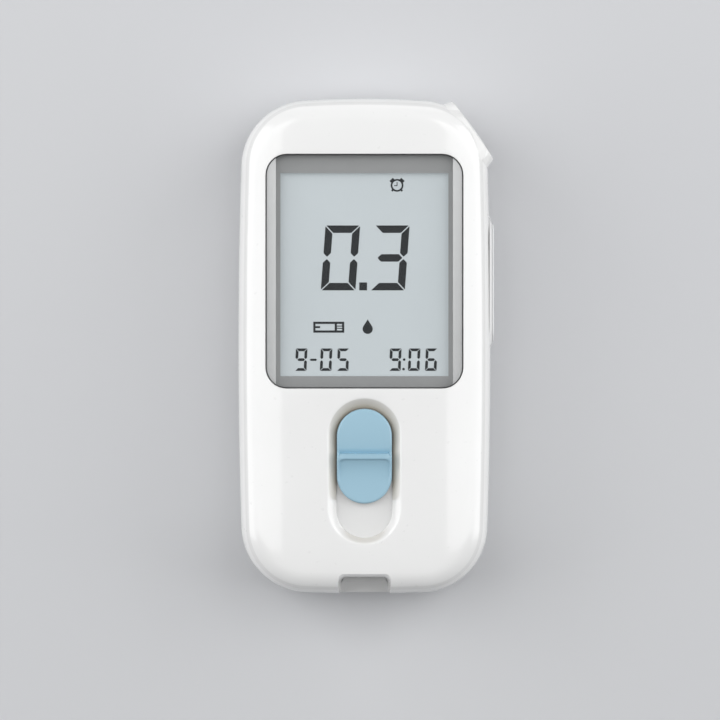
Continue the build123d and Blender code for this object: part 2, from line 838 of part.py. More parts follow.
def main_board():
    """The circuit board, cut round the keys, the rocker's pin, the screws and the prongs."""
    shape = outline(board_inset) & Rectangle(2 * half_width, 2 * board_end)
    board = plate(shape, board_under, board_top)
    limit = pad_depth + key_flange_thickness + plunger_length + 2 * slack
    board -= pad_plane * Pos(0, 0, big / 2 - limit) * Box(big, big, big)
    half, near = pin_boss_half + 4 * slack, pivot_x - pin_boss_reach - 4 * slack
    board -= block(near, half_width, rocker_y - half, rocker_y + half, 0, big / 4)
    for x, y in screw_places:
        board -= post(x, y, 0, case_height, screw_radius + screw_room)
    slot_low, slot_high = carriage_end - eject_travel - 4 * slack, prong_face + 4 * slack
    for side in (-1, 1):
        inner, outer = sorted((side * (prong_inner - running_gap), side * (prong_outer + running_gap)))
        board -= block(inner, outer, slot_low, slot_high, 0, case_height)
    return board


def socket_low():
    """Y of the strip socket's mouth, just behind the notch's wall."""
    return notch_back + slack


def strip_socket():
    """The strip connector under the board, with a channel that the prongs run in."""
    low = socket_low()
    high = low + socket_length
    half = socket_half_width
    under = board_under - socket_height
    body = block(-half, half, low, high, under, board_under)
    channel = prong_outer + prong_room
    top, back = strip_plane + strip_slot_height, high - socket_back
    body -= block(-channel, channel, low - overcut, back, strip_plane - 2 * slack, top)
    track_end = carriage_end - eject_travel - 5 * slack
    for side in (-1, 1):
        inner, outer = sorted((side * (prong_inner - 2 * slack), side * channel))
        body -= block(inner, outer, track_end, back, strip_plane, board_under + overcut)
    floor = contact_floor()
    reach = contact_pitch * (contact_count - 1) / 2 + contact_width / 2 + running_gap
    bed_low, bed_high = low + blade_bed_start, high - blade_bed_end
    body -= block(-reach, reach, bed_low, bed_high, floor, board_under - socket_roof)
    room = (contact_width + slack) / 2
    for x in contact_places():
        groove_low, groove_top = high - blade_groove, floor + blade_groove_depth
        body -= block(x - room, x + room, groove_low, high + overcut, floor, groove_top)
    return body


def contact_floor():
    """Height of the socket floor that the contact blades lie on."""
    return strip_plane - contact_drop


def contact_places():
    """X of each contact blade in the strip socket."""
    first = -contact_pitch * (contact_count - 1) / 2
    return [first + contact_pitch * i for i in range(contact_count)]


def strip_contacts():
    """Five sprung blades that touch the strip, their tails bent up to the board."""
    high, t = socket_low() + socket_length, contact_strip
    root, tip, tail = contact_floor() + blade_lift, contact_floor() + blade_tip_lift, high + running_gap
    crest = strip_plane - slack / 2
    under = [(tail, root), (high - blade_root, root), (high - blade_crest, crest), (high - blade_tip, tip)]
    over = [(high - blade_tip, tip + t), (high - blade_crest, crest + t)]
    over += [(high - blade_root + blade_bend, root + t), (tail + t, root + t)]
    blade = make_face(Polyline(*under, *over, under[0]))
    riser = make_face(
        Polyline((tail, root), (tail + t, root), (tail + t, board_under), (tail, board_under), (tail, root))
    )
    side_view = blade + riser
    return [
        Pos(x, 0, 0) * extrude(Plane.YZ * side_view, contact_width / 2, both=True)
        for x in contact_places()
    ]


def strip_guide():
    """The grey ramp in the notch that leads a strip up into the socket."""
    low, high = -half_length + 3.5 * slack, notch_back - slack
    inner_y = -half_length + wall + 3 * slack
    nose = parting_height - guide_nose
    line = [(low, nose), (low, strip_plane - guide_slope_drop), (notch_edge, strip_plane)]
    line += [(high, strip_plane), (high, guide_base), (inner_y, guide_base), (inner_y, nose)]
    body = extrude(Plane.YZ * make_face(Polyline(*line, line[0])), half_width, both=True)
    half = notch_half_width - slack
    room = notch_form(half, notch_inner - slack, 0, case_height)
    body &= room + block(-half, half, inner_y, high, 0, case_height)
    wing = half + wall / 2
    return body + block(-wing, wing, inner_y, high, guide_base, parting_height - slack)


def side_switch():
    """A tact switch facing +X, its plunger's root at the origin's height."""
    return block(-switch_depth, 0, -switch_width / 2, switch_width / 2, -switch_height, 0)


def switch_plunger():
    """The push pin of a tact switch, reaching out along +X."""
    half, reach = plunger_width / 2, plunger_height / 2
    return block(0, plunger_length, -half, half, plunger_axis - reach, plunger_axis + reach)


def power_place():
    """Where the power switch's front face stands, turned to face the key."""
    back = pad_depth + key_flange_thickness + slack + plunger_length
    x = pad_centre[0] - back * key_normal[0]
    y = pad_centre[1] - back * key_normal[1]
    return Pos(x, y, board_under) * Rot(0, 0, key_angle)


def power_switch():
    """The tact switch behind the power key, with room for its plunger's travel."""
    half, reach = plunger_width / 2 + slack, plunger_height / 2 + slack
    low, high = plunger_axis - reach, plunger_axis + reach
    bore = block(-key_travel - 3 * slack, overcut, -half, half, low, high)
    return power_place() * (side_switch() - bore)


def switch_room():
    """The room that the power switch needs beside the battery bay."""
    half = switch_width / 2 + slack
    return power_place() * block(-switch_depth - slack, 0, -half, half, -switch_height - slack, overcut)


def power_plunger():
    """The push pin that the power key's flange rests on."""
    return power_place() * switch_plunger()


def power_key():
    """The power key: an arched face on a stem, held in by its inner flange."""
    back = pad_depth + slack
    stem = extrude(SlotOverall(key_length, key_width), -back)
    radius = ((key_length / 2) ** 2 + key_dome**2) / (2 * key_dome)
    arch = Pos(0, 0, key_dome - radius) * Rot(90, 0, 0) * Cylinder(radius, 2 * key_width)
    face = extrude(SlotOverall(key_length, key_width), overcut) & arch
    flange = Pos(0, 0, -back) * extrude(
        SlotOverall(key_length + 2 * key_flange, key_width + 2 * key_flange), -key_flange_thickness
    )
    return pad_plane * (stem + face + flange)


def scroll_rocker():
    """The long rocker: a bar with a lug that turns on a pin behind its middle."""
    face = SlotOverall(rocker_length, rocker_width)
    bar = extrude(face, -rocker_thickness)
    bar = chamfer(bar.faces().sort_by(Axis.Z)[-1].edges(), rocker_bevel)
    bar = Plane((rocker_face, rocker_y, parting_height), x_dir=(0, 1, 0), z_dir=(1, 0, 0)) * bar
    low, high = rocker_y - lug_half, rocker_y + lug_half
    half = rocker_width / 2 - slack
    x0, x1 = pivot_x - lug_reach, rocker_back + 2 * slack
    lug = block(x0, x1, low, high, parting_height - half, parting_height + half)
    return bar + lug - post(pivot_x, rocker_y, 0, case_height, pin_radius + pin_gap)


def rocker_pin():
    """The steel pin that the rocker turns on."""
    half = pin_length / 2
    return post(pivot_x, rocker_y, parting_height - half, parting_height + half, pin_radius)


def scroll_switches():
    """Two tact switches behind the rocker, one near each end."""
    face_x = rocker_back - 3 * slack - plunger_length
    made = []
    for side in (-1, 1):
        place = Pos(face_x, rocker_y + side * scroll_switch_spacing / 2, board_under)
        made.append(place * (side_switch() + switch_plunger()))
    return made


def cell(side):
    """One AAA cell. The left one's positive end is up, the right one's down."""
    body = Cylinder(cell_radius, cell_body_length)
    body = chamfer(body.edges(), cell_bevel)
    nub = Pos(0, 0, cell_body_length / 2 + nub_length / 2) * Cylinder(nub_radius, nub_length)
    whole = body + nub
    shift = (spring_room - nub_length - slack - contact_bump) / 2
    whole = Rot(side * 90, 0, 0) * whole
    return Pos(side * cell_pitch / 2, bay_middle_y - side * shift, cell_axis) * whole


def contact_plate(side):
    """A plated contact at the board's end of the bay, with its tab up to the board."""
    x, half = side * cell_pitch / 2, tab_width / 2
    y0, y1 = bay_low_y, bay_low_y + plate_thickness
    top = ceiling_under - 4 * slack
    body = block(x - plate_reach, x + plate_reach, y0, y1, cell_axis - plate_foot, top)
    return body + block(x - half, x + half, y0, y1, top - overcut, board_under)


def battery_minus_plate():
    """The contact that carries the lower spring."""
    return contact_plate(-1)


def battery_plus_plate():
    """The contact with a raised bump for the right cell's nub."""
    bump = Pos(cell_pitch / 2, bay_low_y + plate_thickness, cell_axis) * bump_form()
    return contact_plate(1) + bump


def bump_form():
    """A flat-topped round bump pressed out of a contact, rising along +Y."""
    bump = Cone(bump_root_radius, bump_top_radius, contact_bump)
    return Rot(-90, 0, 0) * Pos(0, 0, contact_bump / 2) * bump


def battery_bridge_plate():
    """The contact at the far end that joins both cells."""
    y1 = bay_high_y
    y0 = y1 - plate_thickness
    reach = cell_pitch / 2 + plate_reach
    body = block(-reach, reach, y0, y1, cell_axis - plate_foot, cell_axis + plate_foot)
    bump = Pos(-cell_pitch / 2, y0, cell_axis) * Rot(0, 0, 180) * bump_form()
    return body + bump


def helix_edges(turns, start_radius, end_radius, length):
    """A helix along +Z as biarcs, two arcs for each quarter turn."""
    steps = 4 * turns
    full = 2 * pi * turns

    def at(turned):
        share = turned / full
        r = start_radius + (end_radius - start_radius) * share
        slope = (end_radius - start_radius) / full
        point = Vector(r * cos(turned), r * sin(turned), length * share)
        ahead = Vector(
            slope * cos(turned) - r * sin(turned),
            slope * sin(turned) + r * cos(turned),
            length / full,
        )
        return point, ahead.normalized()

    edges = []
    for step in range(steps):
        p0, t0 = at(full * step / steps)
        p1, t1 = at(full * (step + 1) / steps)
        across, both = p1 - p0, t0 + t1
        spread = 2 * (1 - t0.dot(t1))
        reach = across.dot(both)
        reach = (-reach + sqrt(reach**2 + spread * across.dot(across))) / spread
        joint = (p0 + t0 * reach + p1 - t1 * reach) * 0.5
        first = TangentArc(p0, joint, tangent=t0)
        edges += [first, TangentArc(joint, p1, tangent=first % 1)]
    return edges


def coil(turns, start_radius, end_radius, length, wire, name):
    """A wire spring along +Z. The wire has few sides, so that its mesh stays light."""
    run = length - wire
    path = Wire(helix_edges(turns, start_radius, end_radius, run))
    section = Plane(origin=path @ 0, z_dir=path % 0) * RegularPolygon(wire / 2, 6)
    gap = hypot(run / turns, (start_radius - end_radius) / turns) - wire
    print(name, "least gap to itself", round(gap, 2), "mm")
    return Pos(0, 0, wire / 2) * sweep(section, path=path)


def battery_spring(side):
    """A cone spring that presses a cell's flat end. side is -1 for the left cell."""
    spring = coil(
        battery_spring_turns,
        battery_spring_radius,
        battery_spring_tip_radius,
        spring_room - slack,
        battery_wire,
        "battery spring",
    )
    if side < 0:
        place = Pos(-cell_pitch / 2, bay_low_y + plate_thickness, cell_axis) * Rot(-90, 0, 0)
    else:
        place = Pos(cell_pitch / 2, bay_high_y - plate_thickness, cell_axis) * Rot(90, 0, 0)
    return place * spring


def eject_spring():
    """The return spring between the case's seat and the carriage's arm."""
    length = carriage_high - carriage_arm - spring_seat_y - slack
    radius = eject_spring_radius
    spring = coil(eject_spring_turns, radius, radius, length, eject_wire, "return spring")
    middle = (carriage_under + carriage_top) / 2 - radius / 3
    return Pos(eject_spring_x, spring_seat_y + slack / 2, middle) * Rot(-90, 0, 0) * spring


def board_chip(x, y, width, length, height):
    """A flat part on the board's front face."""
    x0, y0 = x - width / 2, y - length / 2
    return block(x0, x0 + width, y0, y0 + length, board_top, board_top + height)


def buzzer():
    """The round buzzer under the board, over the sound slots."""
    under = board_under - buzzer_height
    body = post(buzzer_x, buzzer_y, under, board_under, buzzer_radius)
    return body - post(buzzer_x, buzzer_y, 0, under + buzzer_mouth_depth, buzzer_mouth_radius)


def case_screws():
    """Four cross-head screws that pull the halves together through the board."""
    made = []
    for x, y in screw_places:
        head = post(x, y, screw_seat - screw_head_height, screw_seat, screw_head_radius)
        shank = post(x, y, screw_seat, board_top + screw_reach, screw_radius)
        bed, thin, long = screw_seat - screw_head_height + cross_depth, cross_half, cross_reach
        recess = block(x - thin, x + thin, y - long, y + long, 0, bed)
        recess += block(x - long, x + long, y - thin, y + thin, 0, bed)
        made.append(head + shank - recess)
    return made


pieces = {
    "front_shell": front_shell,
    "rear_shell": rear_shell,
    "battery_door": battery_door,
    "display_lens": display_lens,
    "lens_border": lens_border,
    "lcd_polarizer": lambda: lcd_layer(
        front_glass_length, front_glass_under + glass_thickness, film_thickness
    ),
    "lcd_front_glass": lambda: lcd_layer(front_glass_length, front_glass_under, glass_thickness),
    "lcd_rear_glass": lambda: lcd_layer(rear_glass_length, rear_glass_under, glass_thickness),
    "lcd_reflector": lambda: lcd_layer(
        rear_glass_length, rear_glass_under - film_thickness, film_thickness
    ),
    "lcd_carrier": lcd_carrier,
    "zebra_strips": zebra_strips,
    "main_board": main_board,
    "processor_chip": lambda: board_chip(processor_x, chip_y, processor_side, processor_side, chip_height),
    "memory_chip": lambda: board_chip(memory_x, chip_y, memory_width, memory_length, chip_height),
    "clock_crystal": lambda: board_chip(
        crystal_x, crystal_y, crystal_width, crystal_length, crystal_height
    ),
    "power_switch": power_switch,
    "power_plunger": power_plunger,
    "power_key": power_key,
    "scroll_switches": scroll_switches,
    "scroll_rocker": scroll_rocker,
    "rocker_pin": rocker_pin,
    "eject_slider": eject_slider,
    "eject_carriage": eject_carriage,
    "eject_spring": eject_spring,
    "strip_socket": strip_socket,
    "strip_contacts": strip_contacts,
    "strip_guide": strip_guide,
    "buzzer": buzzer,
    "battery_cell_left": lambda: cell(-1),
    "battery_cell_right": lambda: cell(1),
    "battery_minus_plate": battery_minus_plate,
    "battery_plus_plate": battery_plus_plate,
    "battery_bridge_plate": battery_bridge_plate,
    "battery_spring_left": lambda: battery_spring(-1),
    "battery_spring_right": lambda: battery_spring(1),
    "case_screws": case_screws,
}

os.makedirs("parts", exist_ok=True)
for name, make in pieces.items():
    made = make()
    solids = made if isinstance(made, list) else [made]
    export_step(Compound([s for item in solids for s in item.solids()]), f"parts/{name}.step")
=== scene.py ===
from math import atan2, cos, exp, hypot, pi, radians, sin, sqrt

import bmesh
import bpy
from mathutils import Matrix, Vector


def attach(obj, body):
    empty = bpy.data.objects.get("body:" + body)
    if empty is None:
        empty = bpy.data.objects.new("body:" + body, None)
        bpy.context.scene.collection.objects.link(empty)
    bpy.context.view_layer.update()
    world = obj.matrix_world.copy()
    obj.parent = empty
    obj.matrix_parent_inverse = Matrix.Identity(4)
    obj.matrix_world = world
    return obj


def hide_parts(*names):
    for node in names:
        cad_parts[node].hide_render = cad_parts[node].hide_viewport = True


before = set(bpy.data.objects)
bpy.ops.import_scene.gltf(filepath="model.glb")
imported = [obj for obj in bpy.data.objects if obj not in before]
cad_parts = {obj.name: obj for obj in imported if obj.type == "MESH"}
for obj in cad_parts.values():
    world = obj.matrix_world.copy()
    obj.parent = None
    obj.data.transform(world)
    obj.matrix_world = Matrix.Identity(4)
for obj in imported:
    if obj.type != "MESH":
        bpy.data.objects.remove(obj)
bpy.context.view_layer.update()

# Studio: a pale table seen from straight above, a soft panel on each side, one beyond the
# top end and a pale room all round. The meter lies on its back with its display upwards.

view_width = 0.1456
view_x, view_y = -0.00089, -0.00286
lens_length = 250.0
sensor = 36.0
front_plane = 0.0155

camera = bpy.data.objects.new("camera", bpy.data.cameras.new("camera"))
bpy.context.scene.collection.objects.link(camera)
camera.data.lens = lens_length
camera.data.sensor_width = sensor
camera.data.clip_start = 0.05
camera.data.clip_end = 20
camera.location = (view_x, view_y, front_plane + view_width * lens_length / sensor)
bpy.context.scene.camera = camera
bpy.context.scene.view_settings.view_transform = "Standard"


def soft_panel(name, place, aim, width, height, power):
    """A rectangular light at a place, turned towards what it lights."""
    light = bpy.data.lights.new(name, "AREA")
    light.shape = "RECTANGLE"
    light.size = width
    light.size_y = height
    light.energy = power
    lamp = bpy.data.objects.new(name, light)
    bpy.context.scene.collection.objects.link(lamp)
    lamp.location = place
    lamp.rotation_mode = "QUATERNION"
    lamp.rotation_quaternion = (Vector(aim) - Vector(place)).to_track_quat("-Z", "Y")
    return lamp


middle, upper_part = (0, 0, 0.02), (0, 0.22, 0.02)
for side, name in ((-1, "left"), (1, "right")):
    high, low = (side * 0.46, 0.22, 0.82), (side * 0.81, 0.22, 0.33)
    soft_panel(name + "_panel", high, upper_part, width=0.74, height=0.72, power=3.08)
    soft_panel(name + "_low_panel", low, middle, width=1.0, height=0.6, power=3.9)
soft_panel("top_low_panel", (0.0, 0.9, 0.1), middle, width=0.7, height=0.14, power=0.3)


class Shade:
    """A number or colour inside a finish, so that shader maths reads as plain sums."""

    def __init__(self, finish, socket):
        self.finish = finish
        self.socket = socket

    def with_other(self, operation, first, second):
        """A sum of two numbers, one of which may be a plain one."""
        return self.finish.node("ShaderNodeMath", {"operation": operation}, {0: first, 1: second})

    def __add__(self, other):
        return self.with_other("ADD", self, other)

    __radd__ = __add__

    def __sub__(self, other):
        return self.with_other("SUBTRACT", self, other)

    def __rsub__(self, other):
        return self.with_other("SUBTRACT", other, self)

    def __mul__(self, other):
        return self.with_other("MULTIPLY", self, other)

    __rmul__ = __mul__

    def __lt__(self, other):
        return self.with_other("LESS_THAN", self, other)

    def __gt__(self, other):
        return self.with_other("GREATER_THAN", self, other)

    def __abs__(self):
        return self.finish.node("ShaderNodeMath", {"operation": "ABSOLUTE"}, {0: self})

    def at_least(self, other):
        """The larger of two numbers."""
        return self.with_other("MAXIMUM", self, other)

    def clamped(self):
        """The number kept between 0 and 1."""
        return self.finish.node("ShaderNodeClamp", {}, {0: self})

    def part(self, axis):
        """One of the three numbers of a place or a direction."""
        return self.finish.node("ShaderNodeSeparateXYZ", {}, {0: self}, axis)


class Finish:
    """A material made of nodes, with its main shader ready."""

    def __init__(self, name, **constants):
        self.material = bpy.data.materials.new(name)
        self.material.use_nodes = True
        self.tree = self.material.node_tree
        self.shader = self.tree.nodes["Principled BSDF"]
        for key, value in constants.items():
            self.shader.inputs[key.replace("_", " ")].default_value = value

    def node(self, kind, settings, sockets, output=0):
        """Adds a node: its settings first, then the values or links of its sockets."""
        made = self.tree.nodes.new(kind)
        for key, value in settings.items():
            if key == "stops":
                ramp = made.color_ramp.elements
                while len(ramp) < len(value):
                    ramp.new(0.5)
                for stop, (position, colour) in zip(ramp, value):
                    stop.position = position
                    stop.color = colour
            else:
                setattr(made, key, value)
        for key, value in sockets.items():
            if isinstance(value, Shade):
                self.tree.links.new(value.socket, made.inputs[key])
            else:
                made.inputs[key].default_value = value
        return Shade(self, made.outputs[output])

    def place(self):
        """Where a point is on the object, in metres."""
        return self.node("ShaderNodeTexCoord", {}, {}, "Object")

    def noise(self, scale, detail=2.0):
        """A soft random pattern from 0 to 1."""
        sockets = {"Vector": self.place(), "Scale": scale, "Detail": detail}
        return self.node("ShaderNodeTexNoise", {}, sockets, 0)

    def ramp(self, value, *stops):
        """Turns a number into a colour between stops."""
        return self.node("ShaderNodeValToRGB", {"stops": stops}, {0: value})

    def feed(self, socket, value):
        """Lets a value drive one socket of the main shader."""
        self.tree.links.new(value.socket, self.shader.inputs[socket])

    def bump(self, height, strength, distance):
        """Gives the surface a fine relief."""
        sockets = {"Height": height, "Strength": strength, "Distance": distance}
        self.feed("Normal", self.node("ShaderNodeBump", {}, sockets))

    def show_mix(self, share, first, second):
        """Shows a mix of two shaders in place of the main one alone."""
        mixed = self.node("ShaderNodeMixShader", {}, {0: share, 1: first, 2: second})
        self.tree.links.new(mixed.socket, self.tree.nodes["Material Output"].inputs["Surface"])


def paint(shade_value):
    """A colour written as screen values from 0 to 255."""
    line = []
    for value in shade_value:
        share = value / 255
        line.append(share / 12.92 if share <= 0.04045 else ((share + 0.055) / 1.055) ** 2.4)
    return (*line, 1.0)


# The table top lets through what looks at it from below, and light that starts within
# reach_through of it, so that the meter's back can be seen and isn't black.
reach_through = 0.004
table_top = Finish("table_top", Roughness=0.75)
clouds = table_top.noise(6.0)
pale, paler = (0.2, paint((208, 209, 212))), (0.8, paint((212, 213, 215)))
table_top.feed("Base Color", table_top.ramp(clouds, pale, paler))
underneath = table_top.node("ShaderNodeNewGeometry", {}, {}, "Backfacing")
against = table_top.node("ShaderNodeLightPath", {}, {}, "Ray Length") < reach_through
solid_top = Shade(table_top, table_top.shader.outputs[0])
clear = table_top.node("ShaderNodeBsdfTransparent", {}, {})
table_top.show_mix(underneath.at_least(against), solid_top, clear)

table_bm = bmesh.new()
bmesh.ops.create_grid(table_bm, x_segments=2, y_segments=2, size=3.0)
bmesh.ops.translate(table_bm, verts=table_bm.verts, vec=(0, 0, -0.0001))
table_mesh = bpy.data.meshes.new("table")
table_bm.to_mesh(table_mesh)
table_bm.free()
table = bpy.data.objects.new("table", table_mesh)
table_mesh.materials.append(table_top.material)
bpy.context.scene.collection.objects.link(table)

room = bpy.data.worlds.new("room")
bpy.context.scene.world = room
room.use_nodes = True
room_tree = room.node_tree
room_light = room_tree.nodes["Background"]
room_light.inputs["Color"].default_value = (0.97, 0.98, 1.0, 1.0)
room_light.inputs["Strength"].default_value = 0.18
seen_room = room_tree.nodes.new("ShaderNodeBackground")
seen_room.inputs["Color"].default_value = (0.72, 0.73, 0.75, 1.0)
ray = room_tree.nodes.new("ShaderNodeLightPath")
seen = room_tree.nodes.new("ShaderNodeMixShader")
seen_by = ray.outputs["Is Camera Ray"]
for way in ("Is Glossy Ray", "Is Transmission Ray"):
    either = room_tree.nodes.new("ShaderNodeMath")
    either.operation = "MAXIMUM"
    room_tree.links.new(seen_by, either.inputs[0])
    room_tree.links.new(ray.outputs[way], either.inputs[1])
    seen_by = either.outputs[0]
room_tree.links.new(seen_by, seen.inputs[0])
room_tree.links.new(room_light.outputs[0], seen.inputs[1])
room_tree.links.new(seen_room.outputs[0], seen.inputs[2])
room_tree.links.new(seen.outputs[0], room_tree.nodes["World Output"].inputs["Surface"])

# Case front: the upper half of the housing, moulded in glossy white plastic. Its edges are
# rounded, its face is softly crowned towards the sides, and it has the window's seat, the
# slider's sunk track, the strip notch, and a raised pad and collar for the side keys.

case_white = Finish("case_white", Coat_Roughness=0.07, IOR=1.5)
spot = case_white.place()
across, along, up = spot.part("X"), spot.part("Y"), spot.part("Z")
# Surfaces at the height of the track's sunk floor are painted a little greyer: painted shade for the
# recess. Elsewhere the white's tone only varies at random.
bed_height, bed_spread = 0.0183, 0.0004
shaded_bed = abs(up - bed_height) < bed_spread
tone_and_bed_shade = 0.3 * case_white.noise(60.0) + 0.7 * shaded_bed
glossy, glossy_light = (0.1, paint((242, 242, 241))), (0.2, paint((244, 244, 243)))
bed_shade, bed_shade_light = (0.8, paint((231, 231, 230))), (0.9, paint((233, 233, 232)))
shell = case_white.ramp(tone_and_bed_shade, glossy, glossy_light, bed_shade, bed_shade_light)

# Painted shade darkens and warms the flanks of the slider's track: most beside the slider, which
# shades them, and a little in the middle of the track's lower end, which faces away from the lamps.
shade_half_width, shade_half_length, shade_middle, shade_upper = 0.0076, 0.0149, -0.02523, -0.0098
in_track = (abs(across) < shade_half_width) * (abs(along - shade_middle) < shade_half_length)
beside_slider = (along < shade_upper) * (260 * (along + 0.0312)).clamped()
low_end = (300 * (-0.0362 - along)).clamped() * (1.7 - 260 * abs(across)).clamped()
under_face = (600 * (0.020485 - up)).clamped()
over_bed = (4000 * (up - 0.0187)).clamped()
painted_shade = under_face * over_bed * in_track * (beside_slider + 0.22 * low_end)
# These colours run from unshaded white to a deep warm grey of painted shade.
unshaded, light_shade = (0.0, paint((255, 255, 255))), (0.06, paint((234, 232, 228)))
more_shade, deep_shade = (0.55, paint((221, 216, 206))), (0.95, paint((184, 176, 162)))
tint = case_white.ramp(painted_shade, unshaded, light_shade, more_shade, deep_shade)
multiplied = {"data_type": "RGBA", "blend_type": "MULTIPLY"}
shaded_shell = case_white.node("ShaderNodeMix", multiplied, {0: 1.0, 6: shell, 7: tint}, 2)
case_white.feed("Base Color", shaded_shell)
# The painted shade mask also dulls the coat on the flanks.
case_white.feed("Coat Weight", 0.9 - 0.75 * (9 * painted_shade).clamped())
case_white.feed("Roughness", 0.26 + 0.05 * case_white.noise(900.0))
case_white.bump(case_white.noise(2600.0, 1.0), 0.05, 0.00002)

half_width, half_length, case_top = 25.5, 50.0, 20.5
parting = 11.0
corner_radius = 13.5
side_bow, top_bow, bottom_bow = 1137.0, 183.0, 366.0
edge_round = 4.3
crown_start_x, crown_x = 8.0, 0.00026
crown_start_y, crown_y = 33.0, 0.00017
window_y = 15.005
window_half_x, window_half_y, window_corner = 19.93, 23.615, 4.3
seat_height = 18.4
track_y, track_half_length, track_half_width = -25.63, 13.05, 5.63
track_wall_top, flank_shift = 18.87, 0.4
wall, ceiling = 2.0, 17.2
display_half_x, display_low, display_high = 17.83, -6.64, 35.36
slide_travel = 6.8
neck_half, neck_low, neck_high = 2.0, -23.18, -18.18
power_length, power_width = 10.4, 7.0
rocker_length, rocker_width = 23.9, 5.2
running_gap = 0.15
key_angle = radians(35.4)


def crown(x, y):
    """How far the face has dropped at a place, as it curves down towards its edges."""
    across = crown_x * max(0.0, abs(x) - crown_start_x) ** 3
    along = crown_y * max(0.0, abs(y) - crown_start_y) ** 3
    return across + along


def corner_centre(end_bow):
    """Centre of the round corner between the right side and the end with that bow."""
    side_x, end_y = half_width - side_bow, half_length - end_bow
    span = hypot(side_x, end_y)
    side_reach, end_reach = side_bow - corner_radius, end_bow - corner_radius
    along = (side_reach**2 - end_reach**2 + span**2) / (2 * span)
    across = sqrt(side_reach**2 - along**2)
    step_x, step_y = -side_x / span, end_y / span
    return side_x + along * step_x - across * step_y, along * step_y + across * step_x


def case_path(fine=1.0):
    """The way round the case: a turn about each side's, end's and corner's own centre."""
    top_x, top_y = corner_centre(top_bow)
    low_x, low_y = corner_centre(bottom_bow)
    low_y = -low_y
    side_x, top_c, low_c = half_width - side_bow, half_length - top_bow, bottom_bow - half_length
    start = atan2(low_y, low_x - side_x)
    up = atan2(top_y, top_x - side_x)
    over = atan2(top_y - top_c, top_x)
    down = atan2(low_y - low_c, low_x)
    long, corner, end = int(36 * fine), int(22 * fine), int(12 * fine)
    first = Vector((side_x + side_bow * cos(start), side_bow * sin(start), 0))
    turns = [
        ((side_x, 0), up - start, long),
        ((top_x, top_y), over - up, corner),
        ((0, top_c), pi - 2 * over, end),
        ((-top_x, top_y), over - up, corner),
        ((-side_x, 0), up - start, long),
        ((-low_x, low_y), start - down, corner),
        ((0, low_c), pi + 2 * down, end),
        ((low_x, low_y), start - down, corner),
    ]
    return first, Vector((cos(start), sin(start), 0)), turns


def rounded_path(half_x, half_y, radius, y, steps):
    """The way round a rounded rectangle, from the foot of its right side."""
    x0, y0 = half_x - radius, half_y - radius
    corners = [(x0, y + y0), (-x0, y + y0), (-x0, y - y0), (x0, y - y0)]
    runs = [(0, 2 * y0), (-2 * x0, 0), (0, -2 * y0), (2 * x0, 0)]
    moves = []
    for run, centre in zip(runs, corners):
        if hypot(*run) > 0.001:
            moves.append((run, None, max(1, int(hypot(*run)))))
        moves.append((centre, pi / 2, steps))
    return Vector((half_x, y - y0, 0)), Vector((1, 0, 0)), moves


def skirt(bm, path, profile):
    """Draws a profile of (outward, height) points once round a closed path, as a band of
    faces whose ends are joined."""
    first, outward, moves = path
    verts = [bm.verts.new(first + outward * u + Vector((0, 0, z))) for u, z in profile]
    edges = [bm.edges.new(pair) for pair in zip(verts, verts[1:])]
    for where, angle, steps in moves:
        if angle is None:
            for _ in range(steps):
                grown = bmesh.ops.extrude_edge_only(bm, edges=edges)["geom"]
                moved = {v for v in grown if isinstance(v, bmesh.types.BMVert)}
                edges = [e for e in grown if isinstance(e, bmesh.types.BMEdge)]
                edges = [e for e in edges if moved.issuperset(e.verts)]
                bmesh.ops.translate(bm, verts=list(moved), vec=(where[0] / steps, where[1] / steps, 0))
        else:
            turned = bmesh.ops.spin(
                bm, geom=edges, cent=(*where, 0), axis=(0, 0, 1), angle=angle, steps=steps
            )["geom_last"]
            edges = [e for e in turned if isinstance(e, bmesh.types.BMEdge)]
    bmesh.ops.remove_doubles(bm, verts=bm.verts, dist=0.02)


def rim_at(bm, height):
    """The open edges at a height."""
    return [e for e in bm.edges if e.is_boundary and all(abs(v.co.z - height) < 1e-4 for v in e.verts)]


def close_at(bm, height):
    """Closes the open loop at a height with one flat face."""
    bmesh.ops.contextual_create(bm, geom=rim_at(bm, height))


def prism(path, low, high):
    """A closed upright solid on a path."""
    bm = bmesh.new()
    skirt(bm, path, [(0, low), (0, high)])
    close_at(bm, low)
    close_at(bm, high)
    bmesh.ops.recalc_face_normals(bm, faces=bm.faces)
    return bm


def in_case(x, y, inset):
    """Whether a place is inside the case's outline drawn in by inset."""
    x = abs(x)
    end_bow = top_bow if y > 0 else bottom_bow
    corner_x, corner_y = corner_centre(end_bow)
    y = abs(y)
    if x > corner_x and y > corner_y:
        return hypot(x - corner_x, y - corner_y) < corner_radius - inset
    side = hypot(x + side_bow - half_width, y) < side_bow - inset
    return side and hypot(x, y + end_bow - half_length) < end_bow - inset


def outside_rounded(x, y, half_x, half_y, radius, middle):
    """How far a place lies outside a rounded rectangle. It is negative inside."""
    dx, dy = abs(x) - half_x + radius, abs(y - middle) - half_y + radius
    return hypot(max(dx, 0), max(dy, 0)) + min(max(dx, dy), 0) - radius


def web(bm, height, width, length, spacing, keep):
    """Fills between the open loops at a height with an even net of faces and a band of
    triangles round it, so that the face can be crowned smoothly."""
    loops = rim_at(bm, height)
    columns, rows = int(width / spacing), int(length / spacing)
    net = bmesh.ops.create_grid(bm, x_segments=columns, y_segments=rows, size=0.5)["verts"]
    bmesh.ops.scale(bm, verts=net, vec=(width, length, 1))
    bmesh.ops.translate(bm, verts=net, vec=(0, 0, height))
    bmesh.ops.delete(bm, geom=[v for v in net if not keep(v.co.x, v.co.y)], context="VERTS")
    net = [v for v in net if v.is_valid]
    loose = [v for v in net if not v.link_faces]
    bmesh.ops.delete(bm, geom=loose, context="VERTS")
    inner = {e for v in net if v.is_valid for e in v.link_edges if e.is_boundary}
    bmesh.ops.triangle_fill(bm, use_beauty=True, edges=loops + list(inner))


